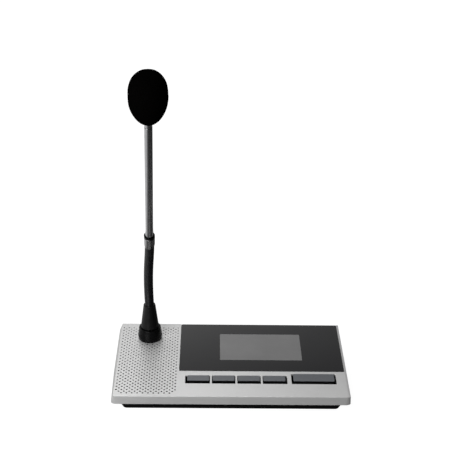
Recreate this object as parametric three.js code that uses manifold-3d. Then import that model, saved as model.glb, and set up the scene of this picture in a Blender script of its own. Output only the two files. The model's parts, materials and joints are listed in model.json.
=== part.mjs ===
// A conference delegate unit: a wedge-shaped desk base with a loudspeaker grille, a colour display
// behind a dark panel, five keys, and a ribbed gooseneck microphone with a foam windscreen.
// Lengths are in millimetres and angles in degrees. +Z is up, and the user sits on the -Y side.
import * as THREE from "three";
import { mergeGeometries, mergeVertices } from "three/addons/utils/BufferGeometryUtils.js";
import Module from "manifold-3d";

const wasm = await Module();
wasm.setup();

// Fits and joins
const seat = 0.3; // gap between a piece and what carries it
const overrun = 5; // how far a cutting tool runs past the face that it cuts

// Deck: the sloping silver top, measured along its own slope from the fold at its front
const deckSlope = 6;
const deckWidth = 261.8;
const deckDepth = 147.4;
const foldHeight = 20.5; // the fold above the table
const coverWall = 2.2;
const skirtHeight = 9.9;
const skirtSideFlare = 3.55;
const skirtEndFlare = 1.4;
const deckCornerRadius = 1.8;
const deckEdgeBevel = 0.8;

// Loudspeaker grille
const grilleSideMargin = 2.9; // first column of holes from the deck's left edge
const grilleFrontMargin = 6;
const grilleBackMargin = 6.4;
const grilleWidth = 65.6;
const grilleHalfPitch = 4.68;
const grilleHole = 1.9;
const grilleMicMargin = 1.6; // bare metal round the microphone's ring

// Keys, in a row between the grille and the right edge
const keyCount = 4;
const keyDepth = 10.4;
const keyFrontMargin = 28.8; // front of the caps from the fold
const keySideGap = 0.7;
const keyBar = 2.3; // of the deck, between two small openings
const keyEndGap = 2.1; // beside the first and the last small cap
const keyFrontGap = 4.2;
const keyBackGap = 0.7;
const keyRowMargin = 7.3; // panel's left edge to the first key opening
const talkKeyWidth = 46.6;
const talkKeyDepth = 14.3;
const talkKeyGap = 4.8; // last small opening to the large one
const talkKeyRightMargin = 11.2;
const keyProud = 0.9;
const keyTravel = 1.5;
const keyCornerRadius = 1.1;
const keyBevel = 0.6;
const keyLipReach = 1.3; // how far the retaining lip hides under the deck
const keyLipThickness = 1;
const keyStem = 3.4;

// Switches and their board
const switchSize = 9;
const switchHeight = 3.8;
const switchWell = 5.4;
const switchWellDepth = 3;
const switchDrop = 6.2; // deck's face to the top of a switch
const boardThickness = 1.6;
const boardMargin = 5; // key board past the key openings
const boardWallGap = 1; // key board to the tray's side wall
const postRadius = 2.2;

// Dark front panel and display
const panelGrilleGap = 3.75;
const panelKeyGap = 5.3;
const panelEdgeInset = 0.7;
const panelThickness = 1.5;
const panelCornerRadius = 1.6;
const ledgeThickness = 1.5; // rim under the panel that closes the display's window
const displayWidth = 96.3;
const displayDepth = 55.1;
const displayFrontMargin = 22;
const displayThickness = 2.6;
const displayFrameBorder = 5;
const displayFrameThickness = 3;
const displayPocket = 1.2;

// Loudspeaker
const speakerRadius = 27.5;
const speakerRearShift = 6; // from midway between the fold and the microphone's socket
const speakerFlange = 3.5;
const speakerFlangeThickness = 1;
const basketDepth = 8.5;
const basketWall = 0.8;
const basketFootRadius = 13;
const magnetRadius = 15;
const magnetThickness = 4;
const conePaper = 0.6;
const coneDrop = 6;
const dustCapRadius = 8;
const dustCapRise = 2;
const gasketThickness = 1;
const dustMeshThickness = 0.4;

// Microphone socket, ring and boot, on an axis square to the deck
const micSideMargin = 35.3;
const micBackMargin = 29.9;
const socketNeckRadius = 9.2;
const socketNeckHeight = 9;
const socketBodyRadius = 11.5;
const socketBodyDepth = 12;
const socketFlangeRadius = 13.5;
const socketFlangeThickness = 1.6;
const socketBore = 6.6;
const socketFloor = 2;
const plugDepth = 6; // how far the plug reaches below the deck
const ringRadius = 14.35;
const ringFootRadius = 13.9;
const ringTopRadius = 12.6;
const ringHeight = 15.3;
const ringBulge = 4.2; // height of the ring's widest line
const ringLip = 3; // thickness of its inner lip
const ringGroove = 0.5;
const bootHeight = 30.2;
const bootFootRadius = 10.9;
const bootTopRadius = 7.1;
const bootSpigot = 6;

// Gooseneck: links that turn on ball joints, ribbed like the wound tube
const linkCount = 8;
const linkLength = 10.75;
const linkRadius = 5.5;
const ribCount = 6; // on each link
const ribDepth = 0.55;
const ballRadius = 3.3;
const ballClearance = 0.4;
const linkGap = 1.3; // open groove at each ball joint
const neckLean = 22; // of the rod, from square to the deck
const linkSideTilt = [-2, -0.9, 0.3, 1.4, 2.7, 3.8, 4.3, 3.6]; // sideways lean of each link
const rodSideTilt = 1.8;

// Rod and its sleeve
const sleeveLength = 22.6;
const sleeveFootRadius = 5.5;
const sleeveRadius = 6.2;
const sleeveTaper = 9;
const sleeveBore = 5.3;
const sleeveMouthDepth = 7;
const collarThickness = 1;
const rodRadius = 4.15;
const rodLength = 169.8; // sleeve's mouth to the capsule housing's neck
const rodFlareHeight = 5;

// Capsule and windscreen
const neckRadius = 4.1;
const neckLength = 10;
const bareNeck = 5.3; // part of the neck that shows under the windscreen
const housingRadius = 6.4;
const housingLength = 30;
const capsuleRadius = 4.9;
const capsuleThickness = 6;
const capsuleProud = 0.5;
const windscreenRadius = 19.8;
const windscreenBelly = 33; // mouth to the widest line
const windscreenLength = 62.3;
const windscreenMouth = 4.5;
const windscreenLip = 4; // height of the narrow mouth
const windscreenCrown = 3.05; // exponent of the blunt crown
const windscreenTaper = 1.75; // exponent of the tapering underside

// Base tray: a black tub under the deck
const footDrop = 0.8; // tray's underside above the table
const trayWall = 2.2;
const traySideInset = 9.35;
const trayFrontInset = 7.6; // behind the fold, level with the table
const trayBackInset = 7.2;
const trayCornerRadius = 5;
const trayFootBevel = 0.5;
const rimThickness = 2;
const rimSeat = 0.4; // rim to the skirt
const footRadius = 6;
const footRecess = 1;
const footInset = 16;
const bossRadius = 4;
const bossHeight = 7;
const screwRadius = 1.3;
const screwHeadRadius = 2.9;
const screwHeadHeight = 2;
const screwReach = 5; // into the standoff
const screwSideInset = 9;
const screwFrontInset = 5.5;
const screwBackInset = 9.5;
const standoffRadius = 3;

// Main board and network sockets
const mainBoardLift = 3.5; // above the tray's floor
const mainBoardWidth = 150;
const mainBoardDepth = 76;
const mainBoardSideGap = 4.6; // to the screw bosses on the right
const mainBoardBackGap = 1;
const chipSize = 22;
const chipHeight = 1.6;
const chipSpacing = 34;
const padRadius = 3;
const padInset = 8;
const jackCount = 2;
const jackSpacing = 30;
const jackWidth = 16;
const jackHeight = 13.4;
const jackDepth = 17;
const jackWindowWidth = 11.8;
const jackWindowHeight = 8.2;
const jackWindowDepth = 13;
const jackSill = 1.8;

// Facets of round pieces
const roundSides = 20;
const rodSides = 16;
const smallSides = 12;
const linkSides = 10;
const pillarSides = 6;
const holeSides = 4;
const arcSteps = 3;

const tilt = THREE.MathUtils.degToRad(deckSlope);
const halfWidth = deckWidth / 2;
const vec2 = (x, y) => new THREE.Vector2(x, y);

// Finishes
const finish = (color, roughness, metalness) => () =>
  new THREE.MeshStandardMaterial({ color, roughness, metalness });
const silverPaint = finish(0xc3c4c6, 0.45, 0.35);
const blackPlastic = finish(0x0c0c0d, 0.55, 0);
const darkGlass = finish(0x1c1d1f, 0.08, 0);
const displayGrey = finish(0x6c7074, 0.25, 0);
const keyGrey = finish(0x63666b, 0.45, 0);
const boardGreen = finish(0x1f4a34, 0.6, 0);
const nickel = finish(0xa9abad, 0.3, 0.9);
const brass = finish(0xb08d4a, 0.35, 0.9);
const blackRubber = finish(0x101010, 0.85, 0);
const darkMesh = finish(0x0a0a0a, 0.95, 0);
const paperCone = finish(0x1a1917, 0.9, 0);
const rodGrey = finish(0x7f8184, 0.28, 0.85);
const neckBlack = finish(0x17181a, 0.5, 0.3);
const foamBlack = finish(0x050505, 1, 0);

// A closed mesh as a solid that can be joined and cut
function solid(geometry) {
  const bare = geometry.clone();
  bare.deleteAttribute("normal");
  bare.deleteAttribute("uv");
  const merged = mergeVertices(bare);
  return new wasm.Manifold(
    new wasm.Mesh({
      numProp: 3,
      vertProperties: merged.attributes.position.array,
      triVerts: new Uint32Array(merged.index.array),
    }),
  );
}

function geometryOf(body) {
  const mesh = body.getMesh();
  const geometry = new THREE.BufferGeometry();
  geometry.setAttribute("position", new THREE.BufferAttribute(mesh.vertProperties, 3));
  geometry.setIndex(new THREE.BufferAttribute(mesh.triVerts, 1));
  return geometry;
}

// The first solid with the others cut out of it
const cut = (body, ...tools) => tools.reduce((left, tool) => left.subtract(tool), body);
const join = (body, ...others) => others.reduce((sum, other) => sum.add(other), body);

function block(x0, x1, y0, y1, z0, z1) {
  const box = new THREE.BoxGeometry(x1 - x0, y1 - y0, z1 - z0);
  return box.translate((x0 + x1) / 2, (y0 + y1) / 2, (z0 + z1) / 2);
}

function cylinder(x, y, z0, z1, radius, sides = smallSides) {
  const rod = new THREE.CylinderGeometry(radius, radius, z1 - z0, sides);
  return rod.rotateX(Math.PI / 2).translate(x, y, (z0 + z1) / 2);
}

// A profile of radius and height turned round the Z axis
function turned(profile, sides = roundSides) {
  const reversed = THREE.ShapeUtils.area(profile) < 0;
  const points = reversed ? [...profile].reverse() : profile;
  return new THREE.LatheGeometry(points, sides).rotateX(Math.PI / 2);
}

// Points of a rectangle with rounded corners, anticlockwise
function roundedRectangle(x0, x1, y0, y1, radius) {
  const corners = [
    [x1 - radius, y0 + radius, -Math.PI / 2],
    [x1 - radius, y1 - radius, 0],
    [x0 + radius, y1 - radius, Math.PI / 2],
    [x0 + radius, y0 + radius, Math.PI],
  ];
  return corners.flatMap(([x, y, start]) =>
    Array.from({ length: arcSteps + 1 }, (_, i) => {
      const angle = start + (i / arcSteps) * (Math.PI / 2);
      return vec2(x + radius * Math.cos(angle), y + radius * Math.sin(angle));
    }),
  );
}

// A closed skin through convex rings of equal count, each given with its height
function loft(rings) {
  const count = rings[0].points.length;
  const positions = rings.flatMap(({ points, z }) => points.flatMap((p) => [p.x, p.y, z]));
  const index = [];
  for (let ring = 0; ring < rings.length - 1; ring++) {
    for (let i = 0; i < count; i++) {
      const a = ring * count + i;
      const b = ring * count + ((i + 1) % count);
      index.push(a, b, b + count, a, b + count, a + count);
    }
  }
  const last = (rings.length - 1) * count;
  for (let i = 1; i < count - 1; i++) {
    index.push(0, i + 1, i, last, last + i, last + i + 1);
  }
  const geometry = new THREE.BufferGeometry();
  geometry.setAttribute("position", new THREE.Float32BufferAttribute(positions, 3));
  geometry.setIndex(index);
  return geometry;
}

function prism(points, z0, z1) {
  return loft([
    { points, z: z0 },
    { points, z: z1 },
  ]);
}

function piece(name, geometry, material) {
  const mesh = new THREE.Mesh(geometry, material());
  mesh.name = name;
  return mesh;
}

// Deck frame: x across, y up the slope from the fold, z square to the deck's face
const deck = new THREE.Group();
deck.position.set(0, 0, foldHeight);
deck.rotation.x = tilt;
deck.updateMatrix();
const toDeck = deck.matrix.clone().invert();
const levelWith = (geometry) => geometry.applyMatrix4(toDeck);
// Height above the table of a point in the deck frame, and its distance behind the fold
const heightOf = (y, z) => foldHeight + y * Math.sin(tilt) + z * Math.cos(tilt);
const levelY = (y, z) => y * Math.cos(tilt) - z * Math.sin(tilt);

// Places that several pieces share, in the deck frame
const trayX = halfWidth - traySideInset;
const deckUnder = -coverWall;
const grilleLeft = -halfWidth + grilleSideMargin;
const grilleBack = deckDepth - grilleBackMargin;
const panelLeft = grilleLeft + grilleWidth + panelGrilleGap;
const panelRight = halfWidth - panelEdgeInset;
const keyBack = keyFrontMargin + keyDepth + keyBackGap;
const talkKeyBack = keyFrontMargin + talkKeyDepth;
const panelFront = Math.max(keyBack, talkKeyBack + keyBackGap) + panelKeyGap - keyBackGap / 2;
const panelBack = deckDepth - panelEdgeInset;
const panelSeat = -panelThickness - seat;
const ledgeUnder = panelSeat - ledgeThickness;
const displayLeft = (panelLeft + panelRight - displayWidth) / 2;
const displayRight = displayLeft + displayWidth;
const displayFront = panelFront + displayFrontMargin;
const displayBack = displayFront + displayDepth;
const micX = -halfWidth + micSideMargin;
const micY = deckDepth - micBackMargin;
const speakerX = grilleLeft + grilleWidth / 2;
const speakerY = (micY - socketFlangeRadius) / 2 + speakerRearShift;

// Each key's cap and opening: the small ones share what the large one leaves of the row
const talkOpenRight = halfWidth - talkKeyRightMargin;
const talkOpenLeft = talkOpenRight - talkKeyWidth - 2 * keyEndGap;
const keyStep = 2 * keySideGap + keyBar;
const firstKeyLeft = panelLeft + keyRowMargin + keyEndGap;
const lastKeyRight = talkOpenLeft - talkKeyGap - keyEndGap;
const keyWidth = (lastKeyRight - firstKeyLeft - (keyCount - 1) * keyStep) / keyCount;
const keys = Array.from({ length: keyCount }, (_, i) => {
  const left = firstKeyLeft + i * (keyWidth + keyStep);
  const right = left + keyWidth;
  return {
    name: `key_${i + 1}`,
    left,
    right,
    back: keyFrontMargin + keyDepth,
    openLeft: left - (i === 0 ? keyEndGap : keySideGap),
    openRight: right + (i === keyCount - 1 ? keyEndGap : keySideGap),
  };
});
keys.push({
  name: "talk_key",
  left: talkOpenLeft + keyEndGap,
  right: talkOpenRight - keyEndGap,
  back: talkKeyBack,
  openLeft: talkOpenLeft,
  openRight: talkOpenRight,
});
const keyOpenFront = keyFrontMargin - keyFrontGap;
const boardTop = -switchDrop - switchHeight - seat;
const boardLeft = keys[0].openLeft - boardMargin;
const boardRight = trayX - trayWall - boardWallGap;
const boardFront = keyOpenFront - boardMargin;
const boardBack = panelFront + 2 * postRadius + seat;

// Outline of the deck, grown by the skirt's flare and drawn in by a wall
function deckOutline(sideGrowth, endGrowth, radius) {
  return roundedRectangle(
    -halfWidth - sideGrowth,
    halfWidth + sideGrowth,
    -endGrowth,
    deckDepth + endGrowth,
    radius,
  );
}

// The share of the skirt's flare that is reached at a depth below the deck
const flareAt = (depth) => depth / skirtHeight;

// Perforations: staggered rows, with the front corners cut and a clear ring round the microphone
function grilleHoles() {
  const columns = Math.floor(grilleWidth / grilleHalfPitch);
  const rows = Math.floor((grilleBack - grilleFrontMargin) / grilleHalfPitch);
  const clear = ringRadius + grilleMicMargin;
  const holes = [];
  for (let row = 0; row <= rows; row++) {
    for (let column = row % 2; column <= columns; column += 2) {
      const cornerCut = row === 0 && (column === 0 || column === columns);
      const x = grilleLeft + column * grilleHalfPitch;
      const y = grilleFrontMargin + row * grilleHalfPitch;
      if (cornerCut || Math.hypot(x - micX, y - micY) < clear) continue;
      holes.push(cylinder(x, y, deckUnder - overrun, overrun, grilleHole / 2, holeSides));
    }
  }
  return solid(mergeGeometries(holes));
}

// Threaded posts under the deck that carry the key board
function boardPosts() {
  const between = (keys[keyCount - 1].openRight + talkOpenLeft) / 2;
  const middle = (keyOpenFront + keyBack) / 2;
  const places = [
    [boardLeft + postRadius, middle],
    [between, keyOpenFront - boardMargin / 2],
    [boardRight - postRadius, boardBack - postRadius],
  ];
  return places.map(([x, y]) => solid(cylinder(x, y, boardTop + seat, deckUnder / 2, postRadius)));
}

// Silver cover: folded skirt, window ledge, key openings, grille and the microphone's hole
function topCover() {
  const flare = (depth) => [skirtSideFlare * flareAt(depth), skirtEndFlare * flareAt(depth)];
  const ring = (depth, inset, radius) => {
    const [side, end] = flare(depth);
    return { points: deckOutline(side - inset, end - inset, radius), z: -depth };
  };
  const innerRadius = deckCornerRadius / 2;
  const shell = solid(
    loft([
      ring(skirtHeight, 0, deckCornerRadius),
      ring(deckEdgeBevel, 0, deckCornerRadius),
      ring(0, deckEdgeBevel, deckCornerRadius),
    ]),
  );
  const inside = solid(
    loft([
      ring(skirtHeight + overrun, coverWall, innerRadius),
      ring(coverWall, coverWall, innerRadius),
    ]),
  );
  const ledge = solid(
    block(panelLeft - coverWall, halfWidth - coverWall / 2, panelFront - coverWall,
      deckDepth - coverWall / 2, ledgeUnder, deckUnder / 2),
  );
  const panelSpace = solid(
    block(panelLeft - seat, halfWidth + overrun, panelFront - seat, deckDepth + overrun,
      panelSeat, overrun),
  );
  const displayWindow = solid(
    block(displayLeft, displayRight, displayFront, displayBack, ledgeUnder - overrun, overrun),
  );
  const openings = keys.map((key) =>
    solid(
      block(key.openLeft, key.openRight, keyOpenFront, key.back + keyBackGap,
        ledgeUnder - overrun, overrun),
    ),
  );
  const micHole = solid(
    cylinder(micX, micY, deckUnder - overrun, overrun, socketNeckRadius + seat, roundSides),
  );
  const body = join(cut(shell, inside), ledge, ...boardPosts());
  return geometryOf(cut(body, panelSpace, displayWindow, ...openings, micHole, grilleHoles()));
}

// Dark panel, with two rounded front corners, over the display
function frontPanel() {
  const outline = roundedRectangle(panelLeft, panelRight, panelFront, panelBack, panelCornerRadius);
  return prism(outline, -panelThickness, 0);
}

// Clearance for the pillars, which stand level, through what lies close under the deck
const pillarHoles = () =>
  screwPlaces.map(([x, y]) =>
    solid(levelWith(cylinder(x, y, 0, heightOf(deckDepth, overrun), standoffRadius + seat))),
  );

// Display: its glass cell reaches up through the window from the frame behind the ledge
const frameTop = ledgeUnder - seat;
const cellTop = panelSeat - seat;
const cellUnder = frameTop - displayPocket + seat;
function displayFrame() {
  const frame = solid(
    block(displayLeft - displayFrameBorder, displayRight + displayFrameBorder,
      displayFront - displayFrameBorder, displayBack + displayFrameBorder,
      frameTop - displayFrameThickness, frameTop),
  );
  const pocket = solid(
    block(displayLeft, displayRight, displayFront, displayBack, frameTop - displayPocket,
      frameTop + overrun),
  );
  return geometryOf(cut(frame, pocket, ...pillarHoles()));
}

const displayCell = () =>
  block(displayLeft + seat, displayRight - seat, displayFront + seat, displayBack - seat,
    Math.max(cellUnder, cellTop - displayThickness), cellTop);

// A key: crowned cap, retaining lip under the deck at front and back, and a stem to its switch
function keyCap(key) {
  const outline = (inset) =>
    roundedRectangle(key.left + inset, key.right - inset, keyFrontMargin + inset,
      key.back - inset, keyCornerRadius);
  const lipTop = deckUnder - seat;
  const lipUnder = lipTop - keyLipThickness;
  const cap = solid(
    loft([
      { points: outline(0), z: lipUnder },
      { points: outline(0), z: keyProud - keyBevel },
      { points: outline(keyBevel), z: keyProud },
    ]),
  );
  const lip = solid(
    block(key.left + keyCornerRadius, key.right - keyCornerRadius, keyOpenFront - keyLipReach,
      key.back + keyBackGap + keyLipReach, lipUnder, lipTop),
  );
  const half = keyStem / 2;
  const [x, y] = switchPlace(key);
  const stemFoot = -switchDrop - switchWellDepth + keyTravel + seat;
  const stem = solid(block(x - half, x + half, y - half, y + half, stemFoot, lipUnder + half / 2));
  return geometryOf(join(cap, lip, stem));
}

function switchPlace(key) {
  return [(key.left + key.right) / 2, (keyFrontMargin + key.back) / 2];
}

// A sealed push switch on the board, with the well that guides the stem
function keySwitch(key) {
  const [x, y] = switchPlace(key);
  const half = switchSize / 2;
  const top = -switchDrop;
  const body = solid(block(x - half, x + half, y - half, y + half, top - switchHeight, top));
  const well = solid(cylinder(x, y, top - switchWellDepth, top + overrun, switchWell / 2));
  return geometryOf(cut(body, well));
}

const keyBoard = () =>
  block(boardLeft, boardRight, boardFront, boardBack, boardTop - boardThickness, boardTop);

// Loudspeaker under the grille, all turned on one axis square to the deck
const meshTop = deckUnder - seat;
const gasketTop = meshTop - dustMeshThickness - seat;
const coneTop = gasketTop - gasketThickness - seat;
const flangeTop = coneTop - conePaper - seat;

function dustMesh() {
  const sheet = solid(
    block(-halfWidth + coverWall + seat, panelLeft - coverWall - seat, coverWall + seat,
      deckDepth - coverWall - seat, meshTop - dustMeshThickness, meshTop),
  );
  const hole = cylinder(micX, micY, meshTop - overrun, meshTop + overrun,
    socketFlangeRadius + seat, roundSides);
  return geometryOf(cut(sheet, solid(hole), ...pillarHoles()));
}

const speakerGasket = () =>
  turned(ringProfile(speakerRadius - speakerFlange, speakerRadius, gasketTop - gasketThickness,
    gasketTop));

function ringProfile(inner, outer, z0, z1) {
  return [vec2(inner, z0), vec2(outer, z0), vec2(outer, z1), vec2(inner, z1), vec2(inner, z0)];
}

const basketFoot = flangeTop - basketDepth;
function speakerBasket() {
  const flangeFoot = flangeTop - speakerFlangeThickness;
  const inner = speakerRadius - speakerFlange;
  return turned([
    vec2(0, basketFoot),
    vec2(basketFootRadius, basketFoot),
    vec2(inner + basketWall, flangeFoot),
    vec2(speakerRadius, flangeFoot),
    vec2(speakerRadius, flangeTop),
    vec2(inner, flangeTop),
    vec2(basketFootRadius - basketWall, basketFoot + basketWall),
    vec2(0, basketFoot + basketWall),
  ]);
}

// Paper cone with its dust cap, its edge clamped between the flange and the gasket
function speakerCone() {
  const edge = speakerRadius - speakerFlange / 2;
  const brink = speakerRadius - speakerFlange - basketWall;
  const throat = coneTop - coneDrop;
  const cap = Array.from({ length: arcSteps + 1 }, (_, i) => {
    const angle = (i / arcSteps) * (Math.PI / 2);
    return vec2(dustCapRadius * Math.cos(angle), throat + dustCapRise * Math.sin(angle));
  });
  cap[arcSteps].x = 0;
  return turned([
    vec2(0, throat - conePaper),
    vec2(dustCapRadius, throat - conePaper),
    vec2(brink, coneTop - conePaper),
    vec2(edge, coneTop - conePaper),
    vec2(edge, coneTop),
    vec2(brink, coneTop),
    ...cap,
  ]);
}

const speakerMagnet = () => {
  const top = basketFoot - seat;
  return cylinder(0, 0, top - magnetThickness, top, magnetRadius, roundSides);
};

// Screwed socket in the deck, the plug in it, and the ring that clamps the plug
function micSocket() {
  const flangeTopZ = deckUnder - seat;
  const flangeFoot = flangeTopZ - socketFlangeThickness;
  const foot = flangeTopZ - socketBodyDepth;
  return turned([
    vec2(0, foot),
    vec2(socketBodyRadius, foot),
    vec2(socketBodyRadius, flangeFoot),
    vec2(socketFlangeRadius, flangeFoot),
    vec2(socketFlangeRadius, flangeTopZ),
    vec2(socketNeckRadius, flangeTopZ),
    vec2(socketNeckRadius, socketNeckHeight),
    vec2(socketBore, socketNeckHeight),
    vec2(socketBore, foot + socketFloor),
    vec2(0, foot + socketFloor),
  ]);
}

const ringTop = ringHeight + seat;
const bootFoot = ringTop + seat;

function micPlug() {
  return turned([
    vec2(0, -plugDepth),
    vec2(socketBore - seat, -plugDepth),
    vec2(socketBore - seat, ringTop - ringLip),
    vec2(0, ringTop - ringLip),
  ]);
}

function couplingRing() {
  const bore = socketNeckRadius + seat;
  const lipBore = bootSpigot + seat;
  return turned([
    vec2(bore, seat),
    vec2(ringFootRadius, seat),
    vec2(ringRadius, seat + ringBulge),
    vec2(ringRadius - ringGroove, seat + ringBulge + ringGroove),
    vec2(ringTopRadius + ringGroove, ringTop - ringGroove),
    vec2(ringTopRadius, ringTop),
    vec2(lipBore, ringTop),
    vec2(lipBore, ringTop - ringLip + seat),
    vec2(bore, ringTop - ringLip + seat),
    vec2(bore, seat),
  ], roundSides);
}

// Half a ball on the axis, from the end face's rim up to the pole
function ballArc(centre, radius, face, towards) {
  const start = Math.asin(face / radius);
  return Array.from({ length: arcSteps + 1 }, (_, i) => {
    const angle = start + (i / arcSteps) * (Math.PI / 2 - start);
    const across = i === arcSteps ? 0 : radius * Math.cos(angle);
    return vec2(across, centre + towards * radius * Math.sin(angle));
  });
}

// The ball above a face that lies half a groove below the joint's centre
function ballAbove(centre) {
  const face = -linkGap / 2;
  const rim = vec2(Math.sqrt(ballRadius ** 2 - face ** 2), centre + face);
  return [rim, ...ballArc(centre, ballRadius, 0, 1)];
}

// The hollow that takes the ball, opening in a face half a groove above the joint's centre
const socketAbove = (centre) =>
  ballArc(centre, ballRadius + ballClearance, linkGap / 2, 1).reverse();

// Tapered boot: its spigot passes the ring's lip, and its top ends in the first ball
function boot() {
  const top = bootFoot + bootHeight - linkGap / 2;
  return turned([
    vec2(0, ringTop - ringLip + seat),
    vec2(bootSpigot, ringTop - ringLip + seat),
    vec2(bootSpigot, bootFoot),
    vec2(bootFootRadius, bootFoot),
    vec2(bootTopRadius, top),
    ...ballAbove(bootFoot + bootHeight),
  ]);
}

// One link, standing on the ball below it: a hollow foot, ribs, and the next ball
function neckLink() {
  const bottom = linkGap / 2;
  const top = linkLength - linkGap / 2;
  const pitch = (top - bottom) / ribCount;
  const ribs = [];
  for (let rib = 0; rib < ribCount; rib++) {
    ribs.push(vec2(linkRadius, bottom + (rib + 0.5) * pitch));
    ribs.push(vec2(linkRadius - ribDepth, bottom + (rib + 1) * pitch));
  }
  return turned(
    [...socketAbove(0), vec2(linkRadius - ribDepth, bottom), ...ribs, ...ballAbove(linkLength)],
    linkSides,
  );
}

// Sleeve that grips the rod: hollow foot for the last ball, and a wide mouth
function rodSleeve() {
  const floor = sleeveLength - sleeveMouthDepth;
  return turned([
    ...socketAbove(0),
    vec2(sleeveFootRadius, linkGap / 2),
    vec2(sleeveRadius, sleeveTaper),
    vec2(sleeveRadius, sleeveLength),
    vec2(sleeveBore, sleeveLength),
    vec2(sleeveBore, floor),
    vec2(0, floor),
  ], rodSides);
}

// Dark collar on the sleeve's mouth
const collar = () =>
  turned(ringProfile(sleeveBore, sleeveRadius, sleeveLength + seat,
    sleeveLength + seat + collarThickness), rodSides);

// Bright rod, flared where it stands in the sleeve's mouth
function rod() {
  const foot = sleeveLength - sleeveMouthDepth + seat;
  const mouth = sleeveLength + seat + collarThickness;
  return turned([
    vec2(0, foot),
    vec2(sleeveBore - seat, foot),
    vec2(sleeveBore - seat, mouth),
    vec2(rodRadius, mouth + rodFlareHeight),
    vec2(rodRadius, sleeveLength + rodLength),
    vec2(0, sleeveLength + rodLength),
  ], rodSides);
}

const neckFoot = sleeveLength + rodLength + seat;
const housingFoot = neckFoot + neckLength;
const housingTop = housingFoot + housingLength;

// Capsule housing: a narrow neck on the rod and a cup for the capsule
function capsuleHousing() {
  const floor = housingTop - capsuleThickness + capsuleProud - seat;
  const bore = capsuleRadius + seat;
  return turned([
    vec2(0, neckFoot),
    vec2(neckRadius, neckFoot),
    vec2(neckRadius, housingFoot),
    vec2(housingRadius, housingFoot + (housingRadius - neckRadius)),
    vec2(housingRadius, housingTop),
    vec2(bore, housingTop),
    vec2(bore, floor),
    vec2(0, floor),
  ], rodSides);
}

const capsule = () =>
  cylinder(0, 0, housingTop - capsuleThickness + capsuleProud, housingTop + capsuleProud,
    capsuleRadius, rodSides);

// Foam windscreen: blunt crown, tapering underside, narrow mouth and a bore for the housing
const windscreenFoot = neckFoot + bareNeck;
function windscreen() {
  const steps = arcSteps * 2;
  const radiusAt = (share, power) => windscreenRadius * (1 - share ** power) ** (1 / power);
  const under = Array.from({ length: steps }, (_, i) => {
    const angle = (1 - (i + 1) / steps) * (Math.PI / 2);
    const share = Math.sin(angle) * (1 - mouthShare());
    return vec2(radiusAt(share, windscreenTaper), windscreenFoot + windscreenBelly * (1 - share));
  });
  const crown = Array.from({ length: steps }, (_, i) => {
    const share = Math.sin(((i + 1) / steps) * (Math.PI / 2));
    const rise = (windscreenLength - windscreenBelly) * share;
    const across = i === steps - 1 ? 0 : radiusAt(share, windscreenCrown);
    return vec2(across, windscreenFoot + windscreenBelly + rise);
  });
  const bore = housingRadius + seat;
  const boreTop = housingTop + capsuleProud + seat;
  const shoulder = windscreenFoot + windscreenLip;
  return turned([
    vec2(windscreenMouth, windscreenFoot),
    vec2(windscreenMouth + (windscreenMouth - neckRadius), windscreenFoot),
    ...under,
    ...crown,
    vec2(0, boreTop),
    vec2(bore, boreTop),
    vec2(bore, shoulder),
    vec2(windscreenMouth, shoulder - (bore - windscreenMouth) / 2),
    vec2(windscreenMouth, windscreenFoot),
  ]);
}

// The share of the underside that is taken by the mouth's flat lip
function mouthShare() {
  const lipShare = (2 * windscreenMouth - neckRadius) / windscreenRadius;
  return 1 - (1 - lipShare ** windscreenTaper) ** (1 / windscreenTaper);
}

// Level places that the tray and what stands in it share
const trayBack = levelY(deckDepth, 0) - trayBackInset;
const floorTop = footDrop + trayWall;
const rimTop = -skirtHeight + seat + rimThickness;
const bossTop = floorTop + bossHeight;
const screwPlaces = [
  [-trayX + screwSideInset, trayFrontInset + screwFrontInset],
  [trayX - screwSideInset, trayFrontInset + screwFrontInset],
  [-trayX + screwSideInset, trayBack - screwBackInset],
  [trayX - screwSideInset, trayBack - screwBackInset],
];
const footPlaces = [-1, 1].flatMap((side) => [
  [side * (trayX - footInset), trayFrontInset + footInset],
  [side * (trayX - footInset), trayBack - footInset],
]);

// Main board on the tray's pads
const mainBoardBack = trayBack - trayWall - mainBoardBackGap;
const mainBoardRight = trayX - screwSideInset - bossRadius - mainBoardSideGap;
const mainBoardLeft = mainBoardRight - mainBoardWidth;
const mainBoardX = mainBoardRight - mainBoardWidth / 2;
const mainBoardUnder = floorTop + mainBoardLift;
const mainBoardTop = mainBoardUnder + boardThickness;
const padPlaces = [
  [mainBoardLeft + padInset, mainBoardBack - padInset],
  [mainBoardRight - padInset, mainBoardBack - padInset],
  [mainBoardLeft + padInset, mainBoardBack - mainBoardDepth + padInset],
  [mainBoardRight - padInset, mainBoardBack - mainBoardDepth + padInset],
];

// Network sockets in a row through the rear wall
const jackFoot = mainBoardTop + seat;
const jackPlaces = Array.from(
  { length: jackCount },
  (_, i) => mainBoardX + (i - (jackCount - 1) / 2) * jackSpacing,
);

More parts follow.
